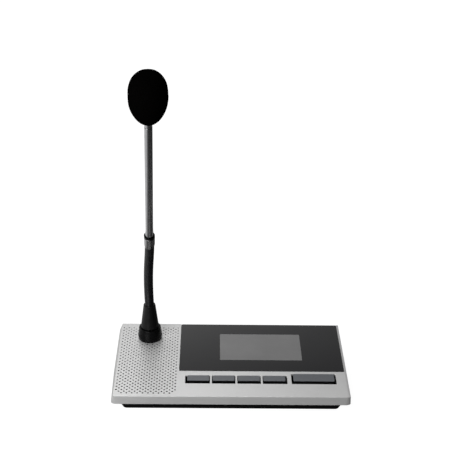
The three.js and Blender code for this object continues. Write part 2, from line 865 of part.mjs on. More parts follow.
function baseTray() {
  const outline = (inset) =>
    roundedRectangle(-trayX + inset, trayX - inset, trayFrontInset + inset, trayBack - inset,
      trayCornerRadius - inset / 2);
  const ceiling = heightOf(deckDepth, 0);
  const aboveRim = solid(deckSlab(rimTop - rimThickness / 2, ceiling + overrun));
  const walls = solid(
    loft([
      { points: outline(trayFootBevel), z: footDrop },
      { points: outline(0), z: footDrop + trayFootBevel },
      { points: outline(0), z: ceiling },
    ]),
  );
  const tub = cut(walls, aboveRim);
  const share = flareAt(skirtHeight - rimThickness);
  const grow = (flare) => flare * share - coverWall - rimSeat;
  const rimOutline = deckOutline(grow(skirtSideFlare), grow(skirtEndFlare), deckCornerRadius / 2);
  const rim = solid(prism(rimOutline, rimTop - rimThickness, rimTop).applyMatrix4(deck.matrix));
  const hollow = solid(prism(outline(trayWall), floorTop, ceiling + overrun));
  const bosses = screwPlaces.map(([x, y]) =>
    solid(cylinder(x, y, footDrop + trayWall / 2, bossTop, bossRadius)),
  );
  const pads = padPlaces.map(([x, y]) =>
    solid(cylinder(x, y, footDrop + trayWall / 2, mainBoardUnder - seat, padRadius)),
  );
  const screwHoles = screwPlaces.flatMap(([x, y]) => [
    solid(cylinder(x, y, -overrun, bossTop + overrun, screwRadius + seat)),
    solid(cylinder(x, y, -overrun, footDrop + screwHeadHeight + seat * 2, screwHeadRadius + seat)),
  ]);
  const recesses = footPlaces.map(([x, y]) =>
    solid(cylinder(x, y, -overrun, footDrop + footRecess, footRadius + seat)),
  );
  const windows = jackPlaces.map((x) =>
    solid(
      block(x - jackWidth / 2 - seat, x + jackWidth / 2 + seat, trayBack - trayWall - overrun,
        trayBack + overrun, jackFoot - seat, jackFoot + jackHeight + seat),
    ),
  );
  const body = join(cut(join(tub, rim), hollow), ...bosses, ...pads);
  return geometryOf(cut(body, ...screwHoles, ...recesses, ...windows));
}

// A slab wider than the unit and parallel to the deck, from a height in the deck frame
function deckSlab(z0, height) {
  const reach = deckWidth;
  return block(-reach, reach, -reach, deckDepth + reach, z0, z0 + height).applyMatrix4(deck.matrix);
}

// Pillar from the deck's underside down to the boss, its top sloped to the deck
function standoff([x, y]) {
  const bottom = bossTop + seat;
  const under = x > panelLeft && y > levelY(panelFront, 0) ? ledgeUnder : deckUnder;
  const pillar = solid(cylinder(x, y, bottom, heightOf(deckDepth, 0), standoffRadius, pillarSides));
  const bore = solid(
    cylinder(x, y, bottom - overrun, bottom + screwReach + seat, screwRadius + seat / 2),
  );
  return geometryOf(cut(pillar, solid(deckSlab(under - seat, deckDepth)), bore));
}

// Case screw: pan head in the counterbore and a shank into the standoff
function caseScrew([x, y]) {
  const headFoot = footDrop + seat;
  const shoulder = headFoot + screwHeadHeight;
  const tip = bossTop + seat + screwReach;
  const profile = [
    vec2(0, headFoot),
    vec2(screwHeadRadius, headFoot),
    vec2(screwHeadRadius, shoulder),
    vec2(screwRadius, shoulder),
    vec2(screwRadius, tip),
    vec2(0, tip),
  ];
  return turned(profile, smallSides).translate(x, y, 0);
}

const rubberFoot = ([x, y]) => cylinder(x, y, 0, footDrop + footRecess - seat, footRadius);

function mainBoard() {
  const front = mainBoardBack - mainBoardDepth;
  const board = solid(
    block(mainBoardLeft, mainBoardRight, front, mainBoardBack, mainBoardUnder, mainBoardTop),
  );
  const chips = [-1, 0, 1].map((step) => {
    const x = mainBoardX + step * chipSpacing;
    const y = front + mainBoardDepth / 2 - chipSize / 2;
    return solid(
      block(x - chipSize / 2, x + chipSize / 2, y - chipSize / 2, y + chipSize / 2,
        mainBoardUnder + boardThickness / 2, mainBoardTop + chipHeight),
    );
  });
  return geometryOf(join(board, ...chips));
}

function networkJack(x) {
  const back = trayBack;
  const body = solid(
    block(x - jackWidth / 2, x + jackWidth / 2, back - jackDepth, back, jackFoot,
      jackFoot + jackHeight),
  );
  const sill = jackFoot + jackSill;
  const mouth = solid(
    block(x - jackWindowWidth / 2, x + jackWindowWidth / 2, back - jackWindowDepth,
      back + overrun, sill, sill + jackWindowHeight),
  );
  return geometryOf(cut(body, mouth));
}

// Assembly
const unit = new THREE.Group();
unit.add(deck);
deck.add(
  piece("top_cover", topCover(), silverPaint),
  piece("front_panel", frontPanel(), darkGlass),
  piece("display_frame", displayFrame(), nickel),
  piece("display_cell", displayCell(), displayGrey),
  piece("key_board", keyBoard(), boardGreen),
  piece("dust_mesh", dustMesh(), darkMesh),
);
keys.forEach((key, i) => {
  deck.add(piece(key.name, keyCap(key), keyGrey));
  deck.add(piece(`key_switch_${i + 1}`, keySwitch(key), blackPlastic));
});

const speaker = new THREE.Group();
speaker.position.set(speakerX, speakerY, 0);
speaker.add(
  piece("speaker_gasket", speakerGasket(), blackRubber),
  piece("speaker_basket", speakerBasket(), nickel),
  piece("speaker_cone", speakerCone(), paperCone),
  piece("speaker_magnet", speakerMagnet(), nickel),
);
deck.add(speaker);

const microphone = new THREE.Group();
microphone.position.set(micX, micY, 0);
microphone.add(
  piece("mic_socket", micSocket(), nickel),
  piece("mic_plug", micPlug(), brass),
  piece("coupling_ring", couplingRing(), blackPlastic),
  piece("neck_boot", boot(), blackRubber),
);
deck.add(microphone);

// Each link hangs in the frame of the one below, so the chain bends from ball to ball
const toRadians = THREE.MathUtils.degToRad;
const leanStep = toRadians(neckLean) / linkCount;
let below = microphone;
let reach = bootFoot + bootHeight;
let sideBefore = 0;
for (let link = 0; link <= linkCount; link++) {
  const side = toRadians(link < linkCount ? linkSideTilt[link % linkSideTilt.length] : rodSideTilt);
  const joint = new THREE.Group();
  joint.position.set(0, 0, reach);
  const firstOrLast = link === 0 || link === linkCount;
  joint.rotation.set(firstOrLast ? leanStep / 2 : leanStep, side - sideBefore, 0);
  below.add(joint);
  if (link < linkCount) joint.add(piece(`neck_link_${link + 1}`, neckLink(), neckBlack));
  below = joint;
  reach = linkLength;
  sideBefore = side;
}
const head = below;
head.add(
  piece("rod_sleeve", rodSleeve(), rodGrey),
  piece("sleeve_collar", collar(), blackPlastic),
  piece("mic_rod", rod(), rodGrey),
  piece("capsule_housing", capsuleHousing(), nickel),
  piece("mic_capsule", capsule(), nickel),
  piece("windscreen", windscreen(), foamBlack),
);

unit.add(piece("base_tray", baseTray(), blackPlastic), piece("main_board", mainBoard(), boardGreen));
jackPlaces.forEach((x, i) => unit.add(piece(`network_jack_${i + 1}`, networkJack(x), blackPlastic)));
screwPlaces.forEach((place, i) => {
  unit.add(piece(`cover_standoff_${i + 1}`, standoff(place), brass));
  unit.add(piece(`case_screw_${i + 1}`, caseScrew(place), nickel));
});
footPlaces.forEach((place, i) => unit.add(piece(`foot_${i + 1}`, rubberFoot(place), blackRubber)));

// The origin is on the table, under the middle of the whole unit
unit.updateMatrixWorld(true);
const reachBox = new THREE.Box3().setFromObject(unit, true);
const middle = reachBox.getCenter(new THREE.Vector3());
unit.position.set(-middle.x, -middle.y, -reachBox.min.z);

export default unit;
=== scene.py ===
"""Looks for a conference delegate unit: a silver wedge with a perforated loudspeaker grille, a dark
display panel and five keys, and a ribbed gooseneck microphone with a foam windscreen.

Sizes are in millimetres, and MM turns them into Blender's metres. The deck frame has its origin
where the microphone's axis meets the deck: x across, y up the slope, z square to the deck's face.
The head frame has its z axis along the rod, from the neck's last ball. Names that end in EDGE or
CORNER are the radii of roundings.
"""
import json
import math
from collections import namedtuple

import bmesh
import bpy
from mathutils import Matrix, Vector, noise

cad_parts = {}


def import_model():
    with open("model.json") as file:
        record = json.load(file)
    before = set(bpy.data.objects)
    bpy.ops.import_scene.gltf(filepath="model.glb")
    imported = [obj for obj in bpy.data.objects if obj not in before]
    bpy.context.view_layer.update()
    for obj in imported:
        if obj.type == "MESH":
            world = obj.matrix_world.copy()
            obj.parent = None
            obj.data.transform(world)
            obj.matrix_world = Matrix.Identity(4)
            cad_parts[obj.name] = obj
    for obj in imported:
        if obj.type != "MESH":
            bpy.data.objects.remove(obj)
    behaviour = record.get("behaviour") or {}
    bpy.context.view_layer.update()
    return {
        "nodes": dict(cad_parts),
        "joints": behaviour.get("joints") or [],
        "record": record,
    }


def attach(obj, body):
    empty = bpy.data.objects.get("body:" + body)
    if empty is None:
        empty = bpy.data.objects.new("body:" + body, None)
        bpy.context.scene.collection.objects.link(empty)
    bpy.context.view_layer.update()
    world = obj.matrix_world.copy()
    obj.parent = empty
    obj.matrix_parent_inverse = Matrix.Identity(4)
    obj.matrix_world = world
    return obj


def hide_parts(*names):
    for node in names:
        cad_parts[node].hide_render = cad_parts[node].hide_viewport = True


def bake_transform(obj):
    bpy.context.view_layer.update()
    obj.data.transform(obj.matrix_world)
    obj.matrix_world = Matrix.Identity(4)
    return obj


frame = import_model()

MM = 0.001
DEG = math.pi / 180
SEAT = 0.3  # gap between a piece and what carries it
OVERRUN = 5  # how far a cutting tool runs past a face
BEYOND = 400  # half the width of a tool that takes all above a plane
SHARP_CORNER = 0.01
SHARP_ANGLE = 32  # an edge that turns by more keeps its line
TURNED_SHARP = 40
SAME_POINT = 1e-7  # metres, between points that are welded
ON_AXIS = 1e-6  # a point with a smaller radius lies on the axis

# Camera, solved from the photograph's straight edges, in the deck frame
CAMERA_PLACE = (72.21, -1093.1, 721.63)
CAMERA_PITCH = 27.55
CAMERA_YAW = 0.87
CAMERA_ROLL = 0.9
CAMERA_REACH = 20  # metres
FOCAL_PIXELS = 1085.3
IMAGE_PIXELS = 452
SENSOR_WIDTH = 36

# Cover
SKIRT = 9.9  # depth of the folded sides
SIDE_FLARE = 3.55  # how far the left and right sides lean out
END_FLARE = 1.4  # the same of the front and the back
COVER_WALL = 2.2
FRONT_CORNER = (2.5, 2.0)  # across and along the deck, to the line that the corner bends round
BACK_CORNER = (0.4, 0.4)
CORNER_LEAST = 0.15
CORNER_STEPS = 8
SIDE_DRAW = (1.4, 1.4)  # how much less the left and right sides flare at the front
DRAW_STATIONS = (12, 24, 36, 48, 60)  # where the sides have points, back from the front
COVER_EDGE = 0.65
LIP = 1.8  # width of the rolled strip at the deck's right edge
LIP_DEPTH = 0.4  # where it's widest
SKIRT_EDGE = 0.35
OPENING_EDGE = 0.35
LEDGE_THICKNESS = 1.5  # of the metal under the panel
SOCKET_FLANGE = 4.3  # past the socket's sleeve

# Perforations, in staggered rows
HOLE_STEP = 2.98  # across
HOLE_ROW_STEP = 3
HOLE_COLUMNS = 23
HOLE_RADII = (1.04, 0.8)  # of the front row and of the back row
HOLE_EDGE = 0.05
HOLE_SIDES = 14
HOLE_LEFT_MARGIN = 2.95
HOLE_FRONT_MARGIN = 6
HOLE_BACK_MARGIN = 6.4
RING_MARGIN = 1.3
GRILLE_INSIDE = 1.8  # the skirt is nearer to the deck's edge than this
GRILLE_PANEL_GAP = 2.2
INSIDE_LEEWAY = 0.1  # past the metal's inner face
PAINTED_SHADE_NORMAL = 0.5  # a hole's faces whose normal has a smaller z are painted black: painted shade for the shadow inside the holes

# Panel and display
PANEL_CORNER = 1.6
PANEL_BACK_CORNER = 0.3
PANEL_EDGE = 0.3
WINDOW_CORNER = 0.4
DISPLAY_SINK = 0.12
DISPLAY_GAP = 0.05
DISPLAY_EDGE = 0.08

# Keys
KEYS = ("key_1", "key_2", "key_3", "key_4", "talk_key")
CAP_DEPTH = 1  # what lies deeper in a key's solid is lip and stem
KEY_CORNER = 1.1
KEY_CORNER_LEAST = 0.3
KEY_EDGE = 0.6
KEY_SIDE_NORMAL = 0.55  # a key's faces whose normal has a smaller z are black
KEY_GAP = 0.7
KEY_GAP_FRONT = 4.2
KEY_GAP_END = 2.1  # beside the outer ends of the row, and of the talk key

# Coupling ring and boot
RING_BORE = 9.5
RING_MOUTH = 7.6
RING_LID = 2
RING_FOOT_RADIUS = 13.8
RING_BELLY_RADIUS = 14.35
RING_BELLY_HEIGHT = 4.2
RING_TOP_RADIUS = 12.7
BOOT_PLUG_RADIUS = 6.5
BOOT_PLUG_LENGTH = 2.6
BOOT_FOOT_RADIUS = 10.7
BOOT_TOP_RADIUS = 6.95
BOOT_TOP_DROP = 3  # below the solid's top
BOOT_BORE = 4.8
BOOT_BORE_DEPTH = 2

# Gooseneck: its wound skin has one rib each pitch
RIB_PITCH = 1.75
RIB_DEPTH = 0.32
RIB_NARROWNESS = 1.6
RIB_STEPS = 8
NECK_RADIUS = 5.45
NECK_SIDES = 56
NECK_SHARP = 60
NECK_START = 5.5  # inside the boot
NECK_END = 1.6  # inside the sleeve

# Sleeve, collar, rod and capsule housing
SLEEVE_FOOT = 5.2  # above the last ball's centre
SLEEVE_FOOT_RADIUS = 5.6
SLEEVE_RADIUS = 6.2
SLEEVE_SHOULDER = 10  # above it too
SLEEVE_BORE = 5.3
SLEEVE_BORE_DEPTH = 5
COLLAR_DROP = 1.6  # how far the collar hides the sleeve's top
COLLAR_MOUTH = 5.5
COLLAR_THROAT = 0.9
COLLAR_SHARP = 50
ROD_RADIUS = 4.28
ROD_FOOT_RADIUS = 5
ROD_NECK_RADIUS = 4.75
ROD_NECK_HEIGHTS = (-1.2, -0.6, 11)  # from the collar's top, where the rod's foot narrows
CAPSULE_STEM_RADIUS = 4.1
CAPSULE_RADIUS = 6.4
CAPSULE_HEIGHTS = (10, 12.3)  # above its foot, where the stem ends and the shoulder is
CAPSULE_BORE = 5.2
CAPSULE_BORE_DEPTH = 5.8

# Windscreen: an egg with its widest place at the belly
FOAM_RADIUS = 19.8
FOAM_BELLY = 33  # above the foot
FOAM_ABOVE = 29.3  # from there to the top
FOAM_TAPER = 1.84  # power of the lower curve
FOAM_CROWN = 2.88  # power of the upper curve
FOAM_SIDES = 160
FOAM_STEPS = 56
FOAM_MOUTH = 4.6
FOAM_MOUTH_HEIGHTS = (6, 5, 0.5, 0.1)  # of the pocket's middle, its wall and its rounded edge
FOAM_MOUTH_EDGE = 0.4
FOAM_MOUTH_RIM = 1
FOAM_GRAIN = (0.16, 0.9)  # height and size
FOAM_LUMPS = (0.25, 7)

# Base
TRAY_FOOT = 0.8  # underside above the table
TRAY_WALL = 2.2
TRAY_CORNER = 5
TRAY_WIDER = (1.3, 2)  # than the solid, on the left and on the right
# Its walls, from the underside up: how far the sides, and the front and back, are drawn in, the
# height above the underside and how much tighter the corners are
TRAY_ENDS = (
    (2.5, 0.5, 0, 0.5), (2.25, 0.16, 0.12, 0), (2.1, 0, 0.5, 0), (0.25, 0, 3.15, 0), (0, 0, 3.7, 0),
)
RIM_THICKNESS = 2
RIM_TOP = -7.6  # in the deck's frame
RIM_SEAT = 0.4
RIM_CORNER = 1
RIM_EDGE = 0.3
FOOT_INSET = 16
FOOT_RADIUS = 6
FOOT_DISH = (3.2, 0.35)  # radius and depth of the hollow under a foot
FOOT_TREAD = (3.6, 5.3)  # radii of the ring that it stands on
FOOT_BEVEL = 0.75
RECESS_EDGE = 0.25
BOSS_RADIUS = 4
PAD_RADIUS = 3  # of the posts under the main board
PAD_INSET = 8
PLUG_SIDES = 40
SCREW_RADIUS = 1.3
SCREW_HEAD_RADIUS = 2.9
SCREW_HEAD_HEIGHT = 2
SCREW_HOLE_EDGE = 0.3
CROSS_LENGTH = 3.2
CROSS_WIDTH = 0.7
CROSS_DEPTH = 1.1

# Network sockets
JACK_CORNER = 0.5
JACK_EDGES = (0.35, 0.1)  # of the face and of the back
JACK_SILL = 1.8
JACK_WINDOW = (11.8, 8.2, 13)  # width, height and depth
JACK_WINDOW_CORNER = 0.3
JACK_WINDOW_EDGE = 0.4
LATCH_BACK = 3  # in from the window's back
LATCH_STEPS = ((3.1, 1.2), (1.6, 2.2))  # half widths, and heights above the window
LATCH_OVERLAP = 0.1
CONTACTS = 8
CONTACT_PITCH = 1.02
CONTACT_WIDTH = 0.4
CONTACT_PATH = ((-12.8, 0.5), (-6, 2.9), (-3.5, 1.6))  # from the jack's face and above the sill

# Light and stage, in metres
LIGHTS = {  # place, target, width and power
    "key": ((-0.2, 0.3, 0.85), (-0.02, 0, 0.05), 0.6, 3.9),
    "fill": ((-0.5, -0.9, 0.55), (-0.05, -0.05, 0.03), 0.7, 12.2),
}
# The world's strength is the product of these: towards a direction, the cosines between which it
# changes, and from what to what
WORLD_FADES = (
    ((-1, 0.04, 0), (-0.16, 0.16), (0.22, 0.65)),
    ((0, 1, 0), (-0.5, 0.5), (0.15, 1.0)),
    ((0, 0, 1), (0.6, 0.7), (1.32, 0.35)),
)
WORLD_WHITE = 1.1  # its strength to the camera
FLOOR_BOX = (-6000, 6000, -6000, 6000, -20, -0.05)  # millimetres
FLOOR_GREY = 0.06
FLOOR_GLOW = ((0.2, 0.7), (0.96, 1.05))  # to the camera: distances, and the strengths there
# Zones of the floor from front to back: where each begins and is reached, and how strongly it
# throws light back at some places across
FLOOR_ZONES = (
    ((-9, -9), (
        (-0.45, 1.8), (-0.3, 1.5), (-0.2, 0.35), (-0.14, 0.15), (-0.09, 0.05), (0.3, 0.02))),
    ((-0.06, -0.01), (
        (-0.3, 1.5), (-0.2, 0.28), (-0.15, 0.05), (0.0, 0.03), (0.12, 0.03), (0.128, 1.3),
        (0.149, 1.3), (0.155, 0.02))),
    ((0.22, 0.36), ((-0.5, 1.5), (-0.1, 1), (0.05, 0.1), (0.5, 0.1))),
)
RAMP_MIDDLE = 0.5  # where x is 0 on the ramps across

# A texture's size is in millimetres. What varies goes from low to high as its texture goes from
# start to end. Bumps are (texture, height), each on top of the one before
Noise = namedtuple("Noise", "size detail")
Cells = namedtuple("Cells", "size")
Vary = namedtuple("Vary", "texture low high start end", defaults=(0.3, 0.7))


def metal(low, high, roughness):
    return dict(Base_Color=Vary(Noise(2.4, 3), low, high), Metallic=1,
                Roughness=Vary(Noise(0.6, 3), roughness * 0.8, roughness * 1.25),
                bumps=[(Noise(0.6, 3), 0.008)])


SURFACES = {
    "silver_paint": dict(
        Base_Color=Vary(Noise(0.35, 3), 0.52, (0.59, 0.59, 0.587)), Metallic=0.4,
        Roughness=Vary(Noise(6, 3), 0.38, 0.47), bumps=[(Noise(0.5, 3), 0.02)]),
    "dark_panel": dict(
        Base_Color=(0.008, 0.008, 0.009), Roughness=Vary(Noise(12, 4), 0.05, 0.1),
        Coat_Weight=0.3, Coat_Roughness=0.03, bumps=[(Noise(40, 1), 0.03)]),
    "display": dict(
        Base_Color=Vary(Noise(30, 2), (0.15, 0.1495, 0.15), (0.165, 0.1645, 0.165)),
        Roughness=0.12, Coat_Weight=0.3, Coat_Roughness=0.03, bumps=[(Noise(40, 1), 0.03)]),
    "key_grey": dict(
        Base_Color=Vary(Noise(1.2, 4), (0.078, 0.084, 0.094), (0.095, 0.1, 0.11)),
        Roughness=Vary(Noise(5, 3), 0.36, 0.48), bumps=[(Noise(0.18, 2), 0.012)]),
    "black_plastic": dict(
        Base_Color=Vary(Noise(3, 4), (0.005, 0.005, 0.0055), (0.009, 0.009, 0.0095)),
        Roughness=Vary(Noise(8, 3), 0.44, 0.58), bumps=[(Cells(0.6), 0.04)]),
    "tray_black": dict(
        Base_Color=Vary(Noise(0.8, 4), (0.0015, 0.0015, 0.0016), (0.0026, 0.0026, 0.0028)),
        Roughness=Vary(Noise(1.5, 3), 0.5, 0.62), Specular_IOR_Level=0.12,
        bumps=[(Cells(0.4), 0.025)]),
    "rubber": dict(
        Base_Color=Vary(Noise(2.5, 4), 0.006, 0.011), Roughness=Vary(Noise(4, 3), 0.5, 0.68),
        bumps=[(Noise(0.4, 3), 0.02)]),
    "boot_black": dict(
        Base_Color=Vary(Noise(2.5, 4), (0.0014, 0.0014, 0.0015), (0.0028, 0.0028, 0.003)),
        Roughness=Vary(Noise(3, 3), 0.32, 0.46), Specular_IOR_Level=0.18,
        bumps=[(Noise(0.5, 3), 0.015)]),
    "ring_black": dict(
        Base_Color=Vary(Noise(2.5, 4), (0.0012, 0.0012, 0.0013), (0.0022, 0.0022, 0.0024)),
        Roughness=Vary(Noise(3, 3), 0.2, 0.3), Specular_IOR_Level=0.1,
        bumps=[(Noise(0.5, 3), 0.008)]),
    "neck_metal": dict(
        Base_Color=Vary(Noise(1.5, 4), (0.0015, 0.0016, 0.0022), (0.003, 0.0031, 0.004)),
        Roughness=Vary(Noise(2, 3), 0.26, 0.36), Specular_IOR_Level=0.25,
        bumps=[(Noise(0.3, 3), 0.012)]),
    "bright_rod": dict(
        Base_Color=Vary(Noise(9, 2), (0.2, 0.2, 0.204), (0.225, 0.225, 0.229)), Metallic=1,
        Roughness=Vary(Noise(3, 3), 0.22, 0.27), bumps=[(Noise(0.4, 2), 0.0008)]),
    "foam": dict(
        Base_Color=Vary(Cells(0.7), 0.0002, (0.0012, 0.0011, 0.001), 0.1, 0.7), Roughness=1,
        Specular_IOR_Level=0, bumps=[(Cells(0.7), 0.35), (Noise(0.35, 4), 0.15)]),
    "steel": metal((0.45, 0.45, 0.46), (0.55, 0.55, 0.56), 0.3),
    "brass": metal((0.5, 0.34, 0.11), (0.6, 0.42, 0.16), 0.3),
    "gold": metal((0.75, 0.5, 0.16), (0.85, 0.6, 0.22), 0.22),
    "magnet": dict(
        Base_Color=Vary(Noise(1, 4), (0.04, 0.04, 0.042), 0.07), Roughness=0.5, Metallic=0.6,
        bumps=[(Noise(0.5, 4), 0.03)]),
    "dust_cloth": dict(
        Base_Color=Vary(Cells(0.45), 0.003, 0.008, 0.1, 0.7), Roughness=0.95,
        bumps=[(Cells(0.45), 0.1)]),
    "cone_paper": dict(
        Base_Color=Vary(Noise(1, 5), (0.009, 0.009, 0.008), (0.018, 0.017, 0.016)),
        Roughness=0.9, bumps=[(Noise(0.6, 4), 0.06)]),
    "board": dict(
        Base_Color=Vary(Noise(4, 3), (0.003, 0.006, 0.0045), (0.005, 0.01, 0.0075)),
        Roughness=0.4, bumps=[(Noise(1, 3), 0.02)]),
}


# Frames and places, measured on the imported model
def node_points(node, matrix):
    """The points of a CAD node in a frame, in millimetres."""
    inverse = matrix.inverted()
    return [inverse @ v.co / MM for v in frame["nodes"][node].data.vertices]


def corners(points):
    """Lowest and highest corners of the box round some points."""
    return [Vector(pick(p[i] for p in points) for i in range(3)) for pick in (min, max)]


def volume_centre(node):
    """Centre of volume of a CAD node, in metres: on the axis of anything turned."""
    mesh = frame["nodes"][node].data
    mesh.calc_loop_triangles()
    total, centre = 0.0, Vector()
    for triangle in mesh.loop_triangles:
        a, b, c = (mesh.vertices[i].co for i in triangle.vertices)
        volume = a.dot(b.cross(c))
        total += volume
        centre += volume * (a + b + c) / 4
    return centre / total


def frame_on(origin, along, across=Vector((1, 0, 0))):
    """A frame at origin whose z axis is along and whose x axis is nearest to across."""
    z = along.normalized()
    y = z.cross(across).normalized()
    x = y.cross(z)
    turn = Matrix((x, y, z)).transposed().to_4x4()
    return Matrix.Translation(origin) @ turn


def shift(x, y, z=0):
    return Matrix.Translation(Vector((x, y, z)) * MM)


def rear_frame(y):
    """A frame on an upright plane that faces back: its y axis is up and its z axis points out."""
    return Matrix(((1, 0, 0, 0), (0, 0, 1, y * MM), (0, 1, 0, 0), (0, 0, 0, 1)))


ring_joint = next(joint for joint in frame["joints"] if joint["name"] == "coupling_ring_turn")
DECK_NORMAL = Vector(ring_joint["axis"]).normalized()
DECK_SLOPE = math.atan2(-DECK_NORMAL.y, DECK_NORMAL.z)
DECK = Matrix.Translation(Vector(ring_joint["pos_m"])) @ Matrix.Rotation(DECK_SLOPE, 4, "X")
LEVEL = Matrix.Identity(4)
NECK_PIVOTS = [Vector(joint["pos_m"]) for joint in frame["joints"]
               if joint["name"].startswith("neck_")]
HEAD = frame_on(NECK_PIVOTS[-1], volume_centre("mic_rod") - NECK_PIVOTS[-1])


def span(node, matrix=DECK):
    """Lowest and highest corners of a CAD node in a frame, in millimetres."""
    return corners(node_points(node, matrix))


def middle(node):
    return sum(span(node, LEVEL), Vector()) / 2


COVER_LOW, COVER_HIGH = span("top_cover")
DECK_LEFT, DECK_RIGHT = COVER_LOW.x + SIDE_FLARE, COVER_HIGH.x - SIDE_FLARE
DECK_FRONT, DECK_BACK = COVER_LOW.y + END_FLARE, COVER_HIGH.y - END_FLARE
PANEL_LOW, PANEL_HIGH = span("front_panel")
DISPLAY_LOW, DISPLAY_HIGH = span("display_cell")
RING_LOW, RING_HIGH = span("coupling_ring")
LEDGE_TOP = PANEL_LOW.z - SEAT
LEDGE_UNDER = LEDGE_TOP - LEDGE_THICKNESS
KEY_CAPS = {name: corners([p for p in node_points(name, DECK) if p.z > -CAP_DEPTH])
            for name in KEYS}


# Mesh making
def rounded(points, steps=6, closed=False):
    """A profile with arcs at its corners: a corner's third number is its radius."""
    result = []
    for i, point in enumerate(points):
        here = Vector(point[:2])
        radius = point[2] if len(point) > 2 else 0
        at_end = not closed and i in (0, len(points) - 1)
        if not radius or at_end:
            result.append(here)
            continue
        before = Vector(points[i - 1][:2]) - here
        after = Vector(points[(i + 1) % len(points)][:2]) - here
        half = before.angle(after) / 2
        cut_back = min(radius / math.tan(half), before.length / 2, after.length / 2)
        radius = cut_back * math.tan(half)
        inward = (before.normalized() + after.normalized()).normalized()
        centre = here + inward * radius / math.sin(half)
        start = here + before.normalized() * cut_back - centre
        end = here + after.normalized() * cut_back - centre
        first = math.atan2(start.y, start.x)
        turn = math.atan2(start.x * end.y - start.y * end.x, start.dot(end))
        for step in range(steps + 1):
            angle = first + turn * step / steps
            result.append(centre + radius * Vector((math.cos(angle), math.sin(angle))))
    return result


def rectangle(x0, x1, y0, y1, corner, steps=6):
    """Rounded rectangle, anticlockwise; corner is a radius, or four from the front right round."""
    radii = corner if isinstance(corner, tuple) else (corner,) * 4
    centres = (
        (x1 - radii[0], y0 + radii[0], radii[0], -90),
        (x1 - radii[1], y1 - radii[1], radii[1], 0),
        (x0 + radii[2], y1 - radii[2], radii[2], 90),
        (x0 + radii[3], y0 + radii[3], radii[3], 180),
    )
    points = []
    for x, y, radius, start in centres:
        for step in range(steps + 1):
            angle = (start + 90 * step / steps) * DEG
            points.append(Vector((x + radius * math.cos(angle), y + radius * math.sin(angle))))
    return points


def plate(x0, x1, y0, y1, corner):
    """The outline of a rounded rectangle, as a function of how far it's drawn in."""
    return lambda inset: rectangle(x0 + inset, x1 - inset, y0 + inset, y1 - inset, corner)


def circle(sides):
    angles = [2 * math.pi * k / sides for k in range(sides)]
    return [(math.cos(angle), math.sin(angle)) for angle in angles]


def edge_arc(radius, steps=4):
    """Points (inset, depth) of a quarter round from the top face's edge to the side."""
    angles = [step / steps * math.pi / 2 for step in range(steps + 1)]
    return [(radius * (1 - math.sin(angle)), radius * (1 - math.cos(angle))) for angle in angles]


def new_object(name, mesh):
    obj = bpy.data.objects.new(name, mesh)
    bpy.context.scene.collection.objects.link(obj)
    return obj


def solid(name, verts, faces, matrix):
    """A closed object from points in a frame, with its normals outwards."""
    mesh = bpy.data.meshes.new(name)
    mesh.from_pydata([matrix @ (Vector(v) * MM) for v in verts], [], faces)
    bm = bmesh.new()
    bm.from_mesh(mesh)
    bmesh.ops.remove_doubles(bm, verts=bm.verts, dist=SAME_POINT)
    bmesh.ops.recalc_face_normals(bm, faces=bm.faces)
    bm.to_mesh(mesh)
    bm.free()
    return new_object(name, mesh)


def loft(name, rings, matrix=DECK):
    """A closed skin through rings of equal count, given as 3-D points, with flat ends."""
    count = len(rings[0])
    verts = [p for ring in rings for p in ring]
    faces = []
    for r in range(len(rings) - 1):
        for i in range(count):
            a, b = r * count + i, r * count + (i + 1) % count
            faces.append((a, b, b + count, a + count))
    faces.append(tuple(range(count))[::-1])
    faces.append(tuple(range((len(rings) - 1) * count, len(rings) * count)))
    return solid(name, verts, faces, matrix)


def tower(name, outline, profile, matrix=DECK):
    """A loft of one outline drawn in by each inset of the profile's (inset, z) points."""
    rings = [[(p.x, p.y, z) for p in outline(inset)] for inset, z in profile]
    return loft(name, rings, matrix)


def turned(name, profile, matrix, sides=64):
    """A profile of (radius, z) turned round z. It closes on itself, or on the axis."""
    verts, starts, counts = [], [], []
    for radius, z in profile:
        starts.append(len(verts))
        counts.append(1 if radius < ON_AXIS else sides)
        verts += [(radius * x, radius * y, z) for x, y in circle(sides)[:counts[-1]]]
    faces = []
    on_axis = counts[0] == 1 and counts[-1] == 1
    for i in range(len(profile) - (1 if on_axis else 0)):
        j = (i + 1) % len(profile)
        for k in range(sides):
            m = (k + 1) % sides
            face = [starts[i] + k % counts[i], starts[i] + m % counts[i],
                    starts[j] + m % counts[j], starts[j] + k % counts[j]]
            unique = list(dict.fromkeys(face))
            if len(unique) > 2:
                faces.append(unique)
    return solid(name, verts, faces, matrix)


def box(name, x0, x1, y0, y1, z0, z1, matrix=DECK):
    rings = [[(x0, y0, z), (x1, y0, z), (x1, y1, z), (x0, y1, z)] for z in (z0, z1)]
    return loft(name, rings, matrix)


def merged(name, objects):
    """One object from several that don't touch."""
    bm = bmesh.new()
    for obj in objects:
        bm.from_mesh(obj.data)
        bpy.data.objects.remove(obj)
    mesh = bpy.data.meshes.new(name)
    bm.to_mesh(mesh)
    bm.free()
    return new_object(name, mesh)


def combine(body, tools, operation):
    """Joins or cuts body with each tool, and removes the tools."""
    for tool in tools:
        modifier = body.modifiers.new("combine", "BOOLEAN")
        modifier.operation = operation
        modifier.solver = "MANIFOLD"
        modifier.object = tool
    bpy.context.view_layer.update()
    evaluated = body.evaluated_get(bpy.context.evaluated_depsgraph_get())
    mesh = bpy.data.meshes.new_from_object(evaluated)
    body.modifiers.clear()
    body.data = mesh
    for tool in tools:
        bpy.data.objects.remove(tool)
    return body


def cut(body, *tools):
    return combine(body, tools, "DIFFERENCE")


def join(body, *tools):
    return combine(body, tools, "UNION")


